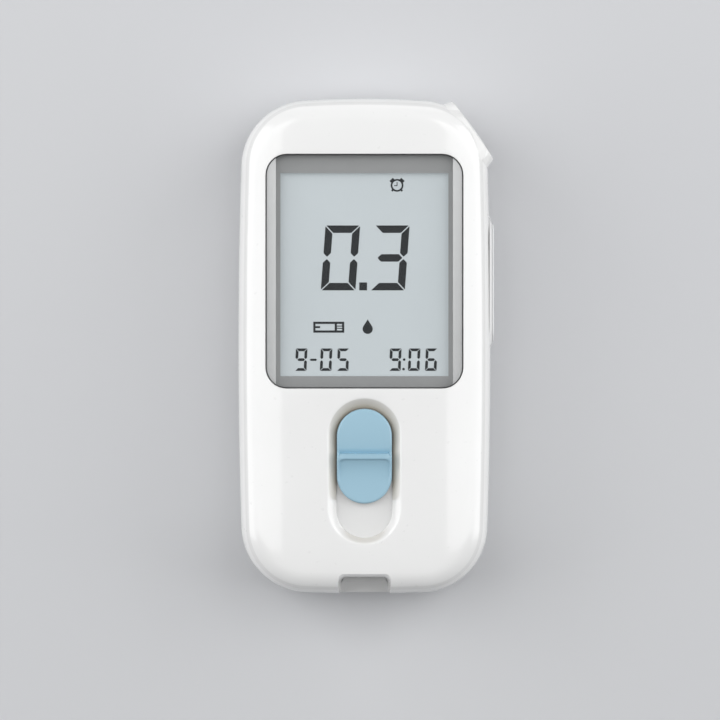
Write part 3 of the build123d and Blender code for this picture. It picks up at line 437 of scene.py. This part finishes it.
def finish_piece(name, bm, finish, sharp=35.0, scale=0.001):
    """Turns a bmesh drawn in millimetres into a piece in metres, shaded smooth."""
    bmesh.ops.scale(bm, vec=(scale, scale, scale), verts=bm.verts)
    mesh = bpy.data.meshes.new(name)
    bm.to_mesh(mesh)
    bm.free()
    mesh.materials.append(finish.material)
    mesh.shade_smooth()
    mesh.set_sharp_from_angle(angle=radians(sharp))
    piece = bpy.data.objects.new(name, mesh)
    bpy.context.scene.collection.objects.link(piece)
    return piece


def carve(bm, other, operation="DIFFERENCE"):
    """Cuts another solid out of a solid, or joins it on. Both are used up."""
    pair = []
    for shape in (bm, other):
        mesh = bpy.data.meshes.new("blank")
        shape.to_mesh(mesh)
        shape.free()
        blank = bpy.data.objects.new("blank", mesh)
        bpy.context.scene.collection.objects.link(blank)
        pair.append(blank)
    change = pair[0].modifiers.new("carve", "BOOLEAN")
    change.operation = operation
    change.object = pair[1]
    change.solver = "EXACT"
    graph = bpy.context.evaluated_depsgraph_get()
    carved = bmesh.new()
    carved.from_object(pair[0], graph)
    for blank in pair:
        mesh = blank.data
        bpy.data.objects.remove(blank)
        bpy.data.meshes.remove(mesh)
    return carved


front = bmesh.new()
wall_line = [(-0.15, parting), (0, parting + 0.15), (0, case_top - edge_round)]
turns = [i * pi / 2 / 10 for i in range(1, 11)]
wall_line += [(-edge_round * (1 - cos(t)), case_top - edge_round * (1 - sin(t))) for t in turns]
skirt(front, case_path(), wall_line)
rim_round = 0.14
window_path = rounded_path(window_half_x, window_half_y, window_corner, window_y, 8)
rim_line = [(rim_round + 0.02, case_top), (rim_round, case_top)]
turns = [i * pi / 2 / 6 for i in range(1, 7)]
rim_line += [(rim_round * (1 - sin(t)), case_top - rim_round * (1 - cos(t))) for t in turns]
rim_line += [(0, case_top - 1.0), (0, seat_height)]
skirt(front, window_path, rim_line)
track_path = rounded_path(track_half_width, track_half_length, track_half_width - 0.0001, track_y, 20)
flank = [(1.8, 0), (1.74, 0.01), (1.66, 0.035), (1.56, 0.085), (1.44, 0.165), (1.3, 0.28), (1.1, 0.46)]
flank += [(0.8, 0.73), (0.4, 1.12), (0.1, 1.42), (0.03, 1.53)]
flank_line = [(u, case_top - drop) for u, drop in flank] + [(0, track_wall_top), (0, seat_height)]
drawn = set(front.verts)
skirt(front, track_path, flank_line)
for vert in set(front.verts) - drawn:
    share = max(0.0, vert.co.z - track_wall_top) / (case_top - track_wall_top)
    vert.co.y += flank_shift * share


def clear_face(x, y):
    """Whether a place on the face is clear of its edge, its window and its track."""
    window = outside_rounded(x, y, window_half_x, window_half_y, window_corner, window_y)
    bed = track_y + flank_shift
    track = outside_rounded(x, y, track_half_width, track_half_length, track_half_width, bed)
    return in_case(x, y, edge_round + 0.45) and window > 0.6 and track > 2.3


web(front, case_top, 2 * half_width, 2 * half_length, 0.8, clear_face)
bmesh.ops.holes_fill(front, edges=rim_at(front, seat_height))
close_at(front, parting)
for vert in front.verts:
    share = min(1.0, max(0.0, (vert.co.z - parting) / (case_top - edge_round - parting)))
    if vert.co.z > seat_height + 0.01 or not in_case(vert.co.x, vert.co.y, edge_round + 0.2):
        vert.co.z -= share * crown(vert.co.x, vert.co.y)
bmesh.ops.recalc_face_normals(front, faces=front.faces)


def upright_part(bm, height):
    """Keeps what lies above a height and closes the cut."""
    everything = list(bm.verts) + list(bm.edges) + list(bm.faces)
    bmesh.ops.bisect_plane(
        bm, geom=everything, plane_co=(0, 0, height), plane_no=(0, 0, -1), clear_outer=True
    )
    bmesh.ops.holes_fill(bm, edges=[e for e in bm.edges if e.is_boundary])
    bmesh.ops.recalc_face_normals(bm, faces=bm.faces)
    return bm


def turned_to(bm, along, outward, place):
    """Stands a shape up: its X runs along, its Z outward, from a place."""
    along, outward = Vector(along), Vector(outward)
    sheet = Matrix((along, outward.cross(along), outward)).transposed().to_4x4()
    bm.transform(Matrix.Translation(place) @ sheet)
    return bm


def raised_plate(length, width, radius, flare, depth, rim):
    """A rounded plate whose sides slope outwards, its upper edge rounded."""
    bm = prism(rounded_path(length / 2, width / 2, radius, 0, 8), -depth, 0)
    foot = [v for v in bm.verts if v.co.z < -depth / 2]
    bmesh.ops.scale(bm, verts=foot, vec=(1 + 2 * flare / length, 1 + 2 * flare / width, 1))
    top = [e for e in bm.edges if all(v.co.z > -0.001 for v in e.verts)]
    bmesh.ops.bevel(bm, geom=top, offset=rim, segments=5, profile=0.5, affect="EDGES", material=-1)
    return bm


def key_hole(length, width, low, high):
    """The space of a round-ended key."""
    return prism(rounded_path(length / 2, width / 2, width / 2 - 0.001, 0, 12), low, high)


def slab(x0, x1, y0, y1, z0, z1):
    """A plain block between two corners."""
    bm = bmesh.new()
    bmesh.ops.create_cube(bm, size=1)
    bmesh.ops.scale(bm, verts=bm.verts, vec=(x1 - x0, y1 - y0, z1 - z0))
    bmesh.ops.translate(bm, verts=bm.verts, vec=((x0 + x1) / 2, (y0 + y1) / 2, (z0 + z1) / 2))
    return bm


def notch_plan(half, outer_half, inner_y, outer_y, radius, z):
    """The notch in plan, its two inner corners rounded."""
    bm = bmesh.new()
    corners = [(-outer_half, outer_y), (outer_half, outer_y), (half, inner_y), (-half, inner_y)]
    verts = [bm.verts.new((x, y, z)) for x, y in corners]
    bm.faces.new(verts)
    bmesh.ops.bevel(
        bm, geom=verts[2:], offset=radius, segments=6, profile=0.5, affect="VERTICES", material=-1
    )
    return bm


def notch_space():
    """The thumb notch: upright near the guide and flared where it meets the face."""
    bm = notch_plan(half=4.4, outer_half=5.15, inner_y=-46.85, outer_y=-52.0, radius=1.2, z=parting - 1)
    levels = [(17.0, 0.15, 0.5), (18.5, 0.15, 0.15), (19.3, 0.2, 0.1)]
    levels += [(19.85, 0.22, 0.12), (20.1, 0.16, 0.1), (case_top + 1, 2.0, 0.6)]
    face = list(bm.faces)
    for height, back, side in levels:
        grown = bmesh.ops.extrude_face_region(bm, geom=face)["geom"]
        if face[0].calc_center_median().z > parting - 0.9:
            bmesh.ops.delete(bm, geom=face, context="FACES_ONLY")
        face = [f for f in grown if isinstance(f, bmesh.types.BMFace)]
        for vert in [v for v in grown if isinstance(v, bmesh.types.BMVert)]:
            inner = vert.co.y > -51.0
            vert.co.z = height
            vert.co.y += back if inner else 0.0
            vert.co.x += (side if inner else 0.25 * side) * (1 if vert.co.x > 0 else -1)
    bmesh.ops.recalc_face_normals(bm, faces=bm.faces)
    return bm


def slit(z0, z1, half, room_half, room_top):
    """The strip's slit in the notch's inner wall and the guide's room under it."""
    outer_y, depth = -51, 7.4
    bm = bmesh.new()
    line = [(-room_half, z0), (room_half, z0), (room_half, room_top), (half, room_top), (half, z1)]
    line += [(-x, z) for x, z in reversed(line[2:])]
    face = bm.faces.new([bm.verts.new((x, outer_y, z)) for x, z in line])
    grown = bmesh.ops.extrude_face_region(bm, geom=[face])["geom"]
    back = [v for v in grown if isinstance(v, bmesh.types.BMVert)]
    bmesh.ops.translate(bm, verts=back, vec=(0, depth, 0))
    bmesh.ops.recalc_face_normals(bm, faces=bm.faces)
    return bm


top_x, top_y = corner_centre(top_bow)
pad_out = Vector((cos(key_angle), sin(key_angle), 0))
pad_along = Vector((sin(key_angle), -cos(key_angle), 0))
pad_place = Vector((top_x, top_y, parting)) + (corner_radius - 0.55) * pad_out
collar_place = Vector((25.82, 12.7, parting))
seam = 0.1

everything = list(front.verts) + list(front.edges) + list(front.faces)
cut_place = pad_place - 0.15 * pad_out
bmesh.ops.bisect_plane(front, geom=everything, plane_co=cut_place, plane_no=pad_out, clear_outer=True)
bmesh.ops.holes_fill(front, edges=[e for e in front.edges if e.is_boundary])
bmesh.ops.recalc_face_normals(front, faces=front.faces)
pad = raised_plate(length=14.5, width=14.4, radius=4.0, flare=1.04, depth=3.2, rim=0.22)
pad = turned_to(pad, pad_along, pad_out, pad_place)
collar = raised_plate(length=25.1, width=9.0, radius=4.45, flare=1.0, depth=0.54, rim=0.1)
collar = turned_to(collar, (0, 1, 0), (1, 0, 0), collar_place)
front = carve(front, upright_part(pad, parting + seam), "UNION")
front = carve(front, upright_part(collar, parting + seam), "UNION")
cavity = bmesh.new()
skirt(cavity, case_path(0.5), [(-wall, parting - 1), (-wall, ceiling)])
close_at(cavity, parting - 1)
close_at(cavity, ceiling)
bmesh.ops.recalc_face_normals(cavity, faces=cavity.faces)
left_round_notch = slab(-7.35, 7.35, -51, -44.65, 0, 20)
cavity = carve(cavity, left_round_notch)
front = carve(front, cavity)
both_gaps = 2 * running_gap
power_hole = key_hole(power_length + both_gaps, power_width + both_gaps, -5, 1)
rocker_hole = key_hole(rocker_length + both_gaps, rocker_width + both_gaps, -5, 1)
slot_half, slot_low, slot_high = neck_half + 0.2, neck_low - slide_travel - 0.2, neck_high + 0.2
for opening in (
    slab(-display_half_x, display_half_x, display_low, display_high, parting - 1, 19),
    slab(-slot_half, slot_half, slot_low, slot_high, 16, 19),
    turned_to(power_hole, pad_along, pad_out, pad_place),
    turned_to(rocker_hole, (0, 1, 0), (1, 0, 0), collar_place),
    notch_space(),
    slit(z0=parting - 1, z1=13.0, half=3.5, room_half=4.4, room_top=12.3),
):
    front = carve(front, opening)

case_front = finish_piece("case_front", front, case_white, sharp=18)
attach(case_front, "case")
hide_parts("front_shell")

# Window: a clear, flat hard plastic pane glued on the printed border. Its two long edges are
# ground to a flat, slightly misty bevel that meets the crowned face. The mist is partly a painted
# reflection fading towards the bottom end; the upright edges are painted dark as the gap's shade.

lens_half_x, lens_half_y, lens_corner = 19.75, 23.435, 4.12
lens_under, lens_top = 18.57, 20.35
bevel_start, bevel_slope = 17.83, 0.3

lens = bmesh.new()
edge_line = [(0, lens_under), (0, lens_top - 0.2), (-0.06, lens_top - 0.06), (-0.2, lens_top)]
skirt(lens, rounded_path(lens_half_x, lens_half_y, lens_corner, window_y, 10), edge_line)


def clear_pane(x, y):
    """Whether a place on the pane is clear of its edge."""
    return outside_rounded(x, y, lens_half_x, lens_half_y, lens_corner, window_y) < -0.9


web(lens, lens_top, 2 * half_width, 2 * half_length, 0.8, clear_pane)
close_at(lens, lens_under)
for x in (-bevel_start, bevel_start):
    everything = list(lens.verts) + list(lens.edges) + list(lens.faces)
    bmesh.ops.bisect_plane(lens, geom=everything, plane_co=(x, 0, 0), plane_no=(1, 0, 0))
for vert in lens.verts:
    if vert.co.z > lens_under + 0.1:
        vert.co.z -= bevel_slope * max(0.0, abs(vert.co.x) - bevel_start)
bmesh.ops.recalc_face_normals(lens, faces=lens.faces)

lens_clear = Finish("lens_clear", Roughness=0.5)
slope = abs(lens_clear.node("ShaderNodeNewGeometry", {}, {}, "Normal").part("Z"))
# The pane's upright edges are painted almost black: painted shade for the narrow gap between the pane
# and the case.
upright = slope < 0.6
light, lighter = (0, paint((235, 236, 236))), (0.1, paint((243, 244, 244)))
dark, darker = (0.85, paint((44, 46, 48))), (1, paint((38, 40, 42)))
tint = 0.9 * upright + 0.1 * lens_clear.noise(400.0)
lens_clear.feed("Base Color", lens_clear.ramp(tint, light, lighter, dark, darker))
see_through = lens_clear.node("ShaderNodeBsdfTransparent", {}, {"Color": (0.985, 0.99, 0.99, 1)})
mirror = lens_clear.node("ShaderNodeBsdfGlossy", {}, {"Roughness": 0.03})
from_inside = lens_clear.node("ShaderNodeNewGeometry", {}, {}, "Backfacing")
shine = (1.0 - from_inside) * lens_clear.node("ShaderNodeFresnel", {}, {"IOR": 1.45})
pane = lens_clear.node("ShaderNodeMixShader", {}, {0: shine, 1: see_through, 2: mirror})
spot = lens_clear.place()
# On the bevels the pane turns misty: partly a ground finish, partly a painted reflection of the lamps,
# and it fades towards the bottom end as painted light.
on_bevel = abs(spot.part("X")) > bevel_start / 1000
mist_and_sheen = on_bevel * (0.34 + 4.2 * spot.part("Y"))
sheen_and_edge_shade = Shade(lens_clear, lens_clear.shader.outputs[0])
lens_clear.show_mix(mist_and_sheen.at_least(upright), pane, sheen_and_edge_shade)

window = finish_piece("window_pane", lens, lens_clear, sharp=12)
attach(window, "case")
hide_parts("display_lens")

# Lens border: a thin grey sheet glued under the window, with an opening cut
# out over the display.

border_under, border_top = 18.41, 18.55
opening_half_x, opening_half_y, opening_y = 16.94, 20.475, 14.365
border = prism(rounded_path(19.9, 23.585, 4.27, window_y, 10), border_under, border_top)
opening_low, opening_high = opening_y - opening_half_y, opening_y + opening_half_y
border = carve(border, slab(-opening_half_x, opening_half_x, opening_low, opening_high, 18, 19))

border_grey = Finish("border_grey")
ink, light_ink = (0.3, paint((149, 149, 149))), (0.7, paint((152, 152, 152)))
border_grey.feed("Base Color", border_grey.ramp(border_grey.noise(300.0), ink, light_ink))
border_grey.feed("Roughness", 0.46 + 0.08 * border_grey.noise(900.0))
lens_border = finish_piece("border_sheet", border, border_grey)
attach(lens_border, "case")
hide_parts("lens_border")

# Display marks: the dark segments of the liquid crystal, a result of two digits with a
# point, signs for clock, strip and drop, and two small rows for the date and the time.

mark_low, mark_high = 17.32, 17.35
marks = bmesh.new()


def mark(points, rounding=0.0):
    """A thin flat shape with the given corners, as the display shows it."""
    verts = [marks.verts.new((x, y, mark_low)) for x, y in points]
    face = marks.faces.new(verts)
    if rounding > 0:
        rounded = bmesh.ops.bevel(
            marks, geom=verts, offset=rounding, segments=2, profile=0.5, affect="VERTICES", material=-1
        )["verts"]
        face = rounded[0].link_faces[0]
    grown = bmesh.ops.extrude_face_region(marks, geom=[face])["geom"]
    top = [v for v in grown if isinstance(v, bmesh.types.BMVert)]
    bmesh.ops.translate(marks, verts=top, vec=(0, 0, mark_high - mark_low))


def bar(x0, x1, y0, y1):
    """A plain upright rectangle on the display."""
    mark([(x0, y0), (x1, y0), (x1, y1), (x0, y1)])


def disc(x, y, radius, steps=20):
    """A round dot on the display."""
    turns = [2 * pi * i / steps for i in range(steps)]
    mark([(x + radius * cos(t), y + radius * sin(t)) for t in turns])


lit_segments = {"0": "abcdef", "3": "abcdg", "5": "acdfg", "6": "acdefg", "9": "abcdfg"}


def segment_corners(letter, width, height, stroke, gap):
    """The corners of one of a digit's seven segments, from the digit's lower left."""
    middle, tip, half = height / 2, 1.4 * gap, stroke / 2
    if letter in "ad":
        line = [(gap, 0), (width - gap, 0), (width - stroke - gap, stroke), (stroke + gap, stroke)]
    elif letter == "g":
        line = [(half + tip, middle), (stroke + tip, middle - half)]
        line += [(width - stroke - tip, middle - half)]
        line += [(width - x, height - y) for x, y in line]
    else:
        line = [(0, gap), (stroke, stroke + gap), (stroke, middle - half - tip)]
        line += [(half, middle - tip), (0, middle - half - tip)]
    if letter in "bc":
        line = [(width - x, y) for x, y in line]
    if letter in "abf":
        line = [(x, height - y) for x, y in line]
    return line


def digit(sign, x, y, width, height, stroke, gap, lean, rounding):
    """A leaning digit whose lower left corner is at a place."""
    for letter in lit_segments[sign]:
        corners = segment_corners(letter, width, height, stroke, gap)
        mark([(x + px + lean * py, y + py) for px, py in corners], rounding)


large = (6.98, 13.1, 1.5, 0.16, 0.073, 0.14)
digit("0", -8.8, 11.2, *large)
digit("3", 1.18, 11.2, *large)
bar(-1.03, 0.53, 11.2, 12.8)

# The date and the time, with a dash and two dots between their digits.
small = (2.33, 4.52, 0.55, 0.08, 0.045, 0.03)
for sign, x in (("9", -14.03), ("0", -9.0), ("5", -5.58), ("9", 4.97), ("0", 8.77), ("6", 12.21)):
    digit(sign, x, -5.05, *small)
mark([(-11.04, -2.82), (-10.8, -3.04), (-9.8, -3.04), (-9.56, -2.82), (-9.8, -2.6), (-10.8, -2.6)])
disc(8.03, -2.78, 0.26)
disc(7.9, -4.7, 0.26)

# The strip sign, a frame with a notch and three contacts, and the drop sign.
for x0, x1, y0, y1 in (
    (-10.31, -4.08, 4.42, 4.87),
    (-10.31, -4.08, 2.66, 3.11),
    (-10.31, -9.88, 3.11, 4.42),
    (-4.5, -4.08, 3.11, 4.42),
    (-6.0, -5.55, 3.11, 4.42),
    (-9.88, -8.95, 3.58, 3.97),
    (-5.55, -4.5, 3.44, 3.62),
    (-5.55, -4.5, 3.9, 4.08),
):
    bar(x0, x1, y0, y1)
drop_x, drop_y, drop_radius, drop_tip = 0.66, 3.43, 1.02, 5.33
spread = pi / 2 - atan2(drop_radius, drop_tip - drop_y)
arc = [pi / 2 + spread + i * (2 * pi - 2 * spread) / 20 for i in range(21)]
drop = [(drop_x + drop_radius * cos(t), drop_y + drop_radius * sin(t)) for t in arc]
mark([(drop_x, drop_tip)] + drop)

# The clock sign: a ring with two hands, two bells and two feet.
clock_x, clock_y, clock_radius, clock_line = 6.59, 32.4, 1.29, 0.34
clock_radii = (clock_radius - clock_line, clock_radius)
ring_edge = marks.edges.new([marks.verts.new((clock_x + r, clock_y, mark_low)) for r in clock_radii])
lifted = bmesh.ops.extrude_edge_only(marks, edges=[ring_edge])["geom"]
raised = [v for v in lifted if isinstance(v, bmesh.types.BMVert)]
bmesh.ops.translate(marks, verts=raised, vec=(0, 0, mark_high - mark_low))
ring_faces = [f for f in lifted if isinstance(f, bmesh.types.BMFace)]
bmesh.ops.spin(
    marks,
    geom=ring_faces,
    cent=(clock_x, clock_y, 0),
    axis=(0, 0, 1),
    angle=2 * pi,
    steps=32,
    use_duplicate=False,
    use_merge=True,
)
bar(clock_x - 0.08, clock_x + 0.08, clock_y - 0.15, clock_y + 0.65)
bar(clock_x - 0.6, clock_x, clock_y - 0.15, clock_y + 0.01)


def slant(x, y, length, width, angle):
    """A short leaning bar about a middle."""
    dx, dy = length / 2 * cos(angle), length / 2 * sin(angle)
    ox, oy = -width / 2 * sin(angle), width / 2 * cos(angle)
    corners = [(-dx - ox, -dy - oy), (dx - ox, dy - oy), (dx + ox, dy + oy), (-dx + ox, -dy + oy)]
    mark([(x + px, y + py) for px, py in corners], 0.08)


for side in (-1, 1):
    slant(clock_x + side * 1.03, clock_y + 1.03, 0.95, 0.46, -side * pi / 4.2)
    slant(clock_x + side * 0.95, clock_y - 1.06, 0.42, 0.3, side * pi / 4)
bmesh.ops.recalc_face_normals(marks, faces=marks.faces)

crystal_dark = Finish("crystal_dark", Roughness=0.4, Specular_IOR_Level=0.15)
dark, less_dark = (0, paint((27, 30, 32))), (1, paint((31, 34, 36)))
crystal_dark.feed("Base Color", crystal_dark.ramp(crystal_dark.noise(300.0), dark, less_dark))
display_marks = finish_piece("display_marks", marks, crystal_dark)
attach(display_marks, "case")

# Slider: a pale blue thumb piece. Its rounded plate rises to a crest across the middle, with
# a shallow hollow above it and a deeper one with raised rims below. Its neck snaps inside.

slider_y, slider_half, slider_radius = -22.23, 9.55, 5.53
slider_under, slider_end, slider_crest = 18.5, 20.25, 21.4
crest_half, upper_foot, lower_foot = 0.47, 20.38, 19.76


def slider_height(x, y):
    """Height of the slider's face at a place measured from its middle."""
    away = max(0.0, abs(y) - crest_half)
    share = min(1.0, away / (slider_half - crest_half))
    crest = slider_crest - 0.13 * max(0.0, abs(x) - 3.9) ** 2 * max(0.0, 1 - away)
    if y > 0:
        groove = 0.4 * exp(-((away / 0.6) ** 2)) + 0.14 * exp(-away / 1.4)
        face = upper_foot - groove + 0.105 * away - 0.0127 * away**2
        return crest + (face - crest) * min(1.0, away / 0.12)
    floor = lower_foot + (slider_end - lower_foot) * share
    hollow = floor + 0.3 * exp(-away / 0.1) + (crest - floor - 0.3) * exp(-away / 1.85)
    rim = slider_end + (crest - slider_end) * (1 - share) ** 4
    reach = slider_half - crest_half + 3
    outside = outside_rounded(x, -y - crest_half - reach, slider_radius - 0.3, reach, 1.3, 0)
    depth = min(1.0, max(0.0, -outside / 0.3))
    return rim + (hollow - rim) * depth * depth * (3 - 2 * depth)


thumb = bmesh.new()
thumb_round = 0.4
turns = [i * pi / 2 / 5 for i in range(6)]
side_line = [(0, slider_under)]
side_line += [(-thumb_round * (1 - cos(t)), slider_end - thumb_round * (1 - sin(t))) for t in turns]
skirt(thumb, rounded_path(slider_radius, slider_half, slider_radius - 0.0001, 0, 28), side_line)


def clear_thumb(x, y):
    """Whether a place on the slider is clear of its edge."""
    return outside_rounded(x, y, slider_radius, slider_half, slider_radius, 0) < -0.55


web(thumb, slider_end, 2 * slider_radius, 2 * slider_half, 0.12, clear_thumb)
close_at(thumb, slider_under)
side_height = slider_end - thumb_round - 0.01 - slider_under
for vert in thumb.verts:
    share = min(1.0, max(0.0, (vert.co.z - slider_under) / side_height))
    vert.co.z += share * (slider_height(vert.co.x, vert.co.y) - slider_end)
bmesh.ops.translate(thumb, verts=thumb.verts, vec=(0, slider_y, 0))
bmesh.ops.recalc_face_normals(thumb, faces=thumb.faces)
neck_foot, neck_head, barb_half, barb_top = 15.4, 18.7, 2.4, 15.97
for half, top in ((neck_half, neck_head), (barb_half, barb_top)):
    thumb = carve(thumb, slab(-half, half, neck_low, neck_high, neck_foot, top), "UNION")

slider_blue = Finish("slider_blue", Coat_Weight=0.15, Coat_Roughness=0.2)
# Below its top face the slider's sides are painted grey, not blue: painted shade for the narrow gap
# beside the slider.
tone_and_side_shade = 0.6 * slider_blue.noise(250.0) + 9000 * (slider_blue.place().part("Z") - 0.01985)
shaded_side, shaded_side_light = (0.0, paint((156, 160, 160))), (0.2, paint((160, 164, 164)))
face, light_face = (0.3, paint((152, 189, 208))), (0.9, paint((156, 193, 211)))
slider_blue.feed("Base Color", slider_blue.ramp(tone_and_side_shade, shaded_side, shaded_side_light, face, light_face))
slider_blue.feed("Roughness", 0.36 + 0.06 * slider_blue.noise(1200.0))
slider_blue.bump(slider_blue.noise(5000.0, 1.0), 0.08, 0.00002)
thumb_slider = finish_piece("thumb_slider", thumb, slider_blue)
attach(thumb_slider, "ejector")
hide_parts("eject_slider")

# Strip guide: the grey ramp moulded to fill the notch. Its floor rises from the end of the
# case to the strip's mouth, and its foot is held behind the notch's wall.

guide_inner, guide_outer, guide_under, mouth = -46.83, -49.95, 9.6, 12.2
foot_outer, foot_inner, foot_under, foot_top = -47.7, -44.75, 6.5, 10.9
guide = notch_plan(4.39, 5.13, guide_inner, guide_outer, radius=1.2, z=guide_under)
grown = bmesh.ops.extrude_face_region(guide, geom=list(guide.faces))["geom"]
floor = [v for v in grown if isinstance(v, bmesh.types.BMVert)]
for vert in floor:
    vert.co.z = mouth - (guide_inner - vert.co.y) / (guide_inner - guide_outer)
bmesh.ops.recalc_face_normals(guide, faces=guide.faces)
for half, top in ((4.3, mouth), (5.3, foot_top)):
    guide = carve(guide, slab(-half, half, foot_outer, foot_inner, foot_under, top), "UNION")

guide_grey = Finish("guide_grey")
grey, light_grey = (0.3, paint((216, 216, 215))), (0.7, paint((220, 220, 219)))
guide_grey.feed("Base Color", guide_grey.ramp(guide_grey.noise(200.0), grey, light_grey))
guide_grey.feed("Roughness", 0.38 + 0.08 * guide_grey.noise(900.0))
strip_guide = finish_piece("strip_ramp", guide, guide_grey)
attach(strip_guide, "case")
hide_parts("strip_guide")

# Side keys: the power key on the cut corner and the rocker on the right side, moulded in a
# slightly greyer white. Each has a cap over a narrower neck, so that a thin shadow rings it.

key_white = Finish("key_white", Coat_Weight=0.3, Coat_Roughness=0.1)
cool, cool_light = (0.3, paint((238, 239, 240))), (0.7, paint((241, 242, 242)))
key_white.feed("Base Color", key_white.ramp(key_white.noise(80.0), cool, cool_light))
key_white.feed("Roughness", 0.28 + 0.06 * key_white.noise(700.0))


def capped_key(half_length, half_width, profile, cap, arch):
    """A round-ended key drawn along Z, its cap arched along its length."""
    bm = bmesh.new()
    path = rounded_path(half_length, half_width, half_width - 0.001, 0, 14)
    skirt(bm, path, profile)
    top = profile[-1][1]
    reach = -profile[-1][0] + 0.3

    def clear_cap(x, y):
        """Whether a place on the cap is clear of its edge."""
        return outside_rounded(x, y, half_length, half_width, half_width, 0) < -reach

    web(bm, top, 2 * half_length, 2 * half_width, 0.45, clear_cap)
    close_at(bm, profile[0][1])
    for vert in bm.verts:
        if vert.co.z > cap + 0.01:
            vert.co.z += arch * (1 - (vert.co.x / half_length) ** 2)
    bmesh.ops.recalc_face_normals(bm, faces=bm.faces)
    return bm


power_line = [(0.9, -4.1), (0.9, -3.3), (0, -3.3), (0, -0.3), (-1.5, -0.3), (-1.5, 0.08), (0, 0.08)]
power_line += [(0, 0.12), (-0.05, 0.15)]
power = capped_key(power_length / 2, power_width / 2, power_line, cap=0.1, arch=0.19)
power = turned_to(power, pad_along, pad_out, pad_place)
power_key = finish_piece("power_button", power, key_white)
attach(power_key, "power_button")
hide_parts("power_key")

rocker_line = [(0, -2.7), (0, -0.3), (-1.2, -0.3), (-1.2, 0.12), (0, 0.12), (0, 0.28), (-0.05, 0.36)]
rocker_line += [(-0.15, 0.4)]
rocker = capped_key(rocker_length / 2, rocker_width / 2, rocker_line, cap=0.13, arch=0)
rocker = turned_to(rocker, (0, 1, 0), (1, 0, 0), collar_place)
pin_x, pin_y, pin_radius = 22.27, 12.7, 0.8
pivot_block = slab(pin_x - 1.35, pin_x + 1.05, pin_y - 1.6, pin_y + 1.6, 8.5, 13.5)
rocker = carve(rocker, pivot_block, "UNION")
pin_hole = bmesh.new()
radii = {"radius1": pin_radius, "radius2": pin_radius}
bmesh.ops.create_cone(pin_hole, cap_ends=True, segments=32, depth=20, **radii)
bmesh.ops.translate(pin_hole, verts=pin_hole.verts, vec=(pin_x, pin_y, parting))
rocker = carve(rocker, pin_hole)
scroll_rocker = finish_piece("scroll_bar", rocker, key_white)
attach(scroll_rocker, "rocker")
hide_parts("scroll_rocker")

# Pieces that keep their plain form: the rear half of the case and its door, the display's
# panes, and all that is mounted inside. Each gets the finish of what it is made of, and the
# display film also a painted glow.


def dress(node, finish):
    """Gives a carried-over piece its finish."""
    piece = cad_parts[node]
    piece.data.materials.clear()
    piece.data.materials.append(finish.material)


def mottled(name, colour, spread, scale, rough, **constants):
    """A finish whose colour and roughness vary a little from place to place."""
    finish = Finish(name, **constants)
    dark = paint([max(0, value - spread) for value in colour])
    light = paint([min(255, value + spread) for value in colour])
    finish.feed("Base Color", finish.ramp(finish.noise(scale), (0.3, dark), (0.7, light)))
    finish.feed("Roughness", rough - 0.04 + 0.08 * finish.noise(4 * scale))
    return finish


# The film's glow is painted light: it evens out the shade that the border casts on the display, which
# doesn't light itself.
film_grey = mottled("film_grey", (180, 186, 189), 1, 60.0, 0.45, Emission_Strength=0.24)
painted_glow, painted_glow_light = (0.3, paint((206, 213, 216))), (0.7, paint((208, 215, 218)))
film_grey.feed("Emission Color", film_grey.ramp(film_grey.noise(60.0), painted_glow, painted_glow_light))
pane_green = mottled("pane_green", (190, 200, 198), 2, 90.0, 0.1, Coat_Weight=0.5)
moulding_grey = mottled("moulding_grey", (150, 152, 154), 3, 200.0, 0.5)
rubber_grey = mottled("rubber_grey", (70, 68, 66), 4, 800.0, 0.8)
board_green = mottled("board_green", (28, 92, 58), 6, 150.0, 0.35, Coat_Weight=0.4)
chip_black = mottled("chip_black", (32, 32, 34), 3, 500.0, 0.55)
plate_nickel = mottled("plate_nickel", (200, 198, 192), 5, 300.0, 0.28, Metallic=1.0)
steel_wire = mottled("steel_wire", (178, 178, 180), 6, 400.0, 0.25, Metallic=1.0)
contact_gold = mottled("contact_gold", (214, 172, 92), 5, 400.0, 0.25, Metallic=1.0)
cell_jacket = Finish("cell_jacket", Coat_Weight=0.4, Coat_Roughness=0.1)
along_cell = 22 * cell_jacket.place().part("Y") + 0.02 * cell_jacket.noise(400.0)
band, band_end = (0.1, paint((196, 198, 200))), (0.27, paint((200, 202, 204)))
jacket, jacket_end = (0.28, paint((62, 92, 120))), (0.9, paint((68, 98, 126)))
cell_jacket.feed("Base Color", cell_jacket.ramp(along_cell, band, band_end, jacket, jacket_end))
cell_jacket.feed("Roughness", 0.3 + 0.06 * cell_jacket.noise(900.0))

for finish, nodes in (
    (case_white, ("rear_shell", "battery_door")),
    (film_grey, ("lcd_polarizer", "lcd_reflector")),
    (pane_green, ("lcd_front_glass", "lcd_rear_glass")),
    (moulding_grey, ("lcd_carrier", "eject_carriage")),
    (rubber_grey, ("zebra_strips",)),
    (board_green, ("main_board",)),
    (chip_black, ("processor_chip", "memory_chip", "buzzer", "strip_socket")),
    (chip_black, ("power_switch", "power_plunger", "scroll_switches")),
    (plate_nickel, ("battery_bridge_plate", "battery_minus_plate", "battery_plus_plate")),
    (plate_nickel, ("clock_crystal", "rocker_pin")),
    (steel_wire, ("case_screws", "eject_spring", "battery_spring_left", "battery_spring_right")),
    (contact_gold, ("strip_contacts",)),
    (cell_jacket, ("battery_cell_left", "battery_cell_right")),
):
    for node in nodes:
        dress(node, finish)
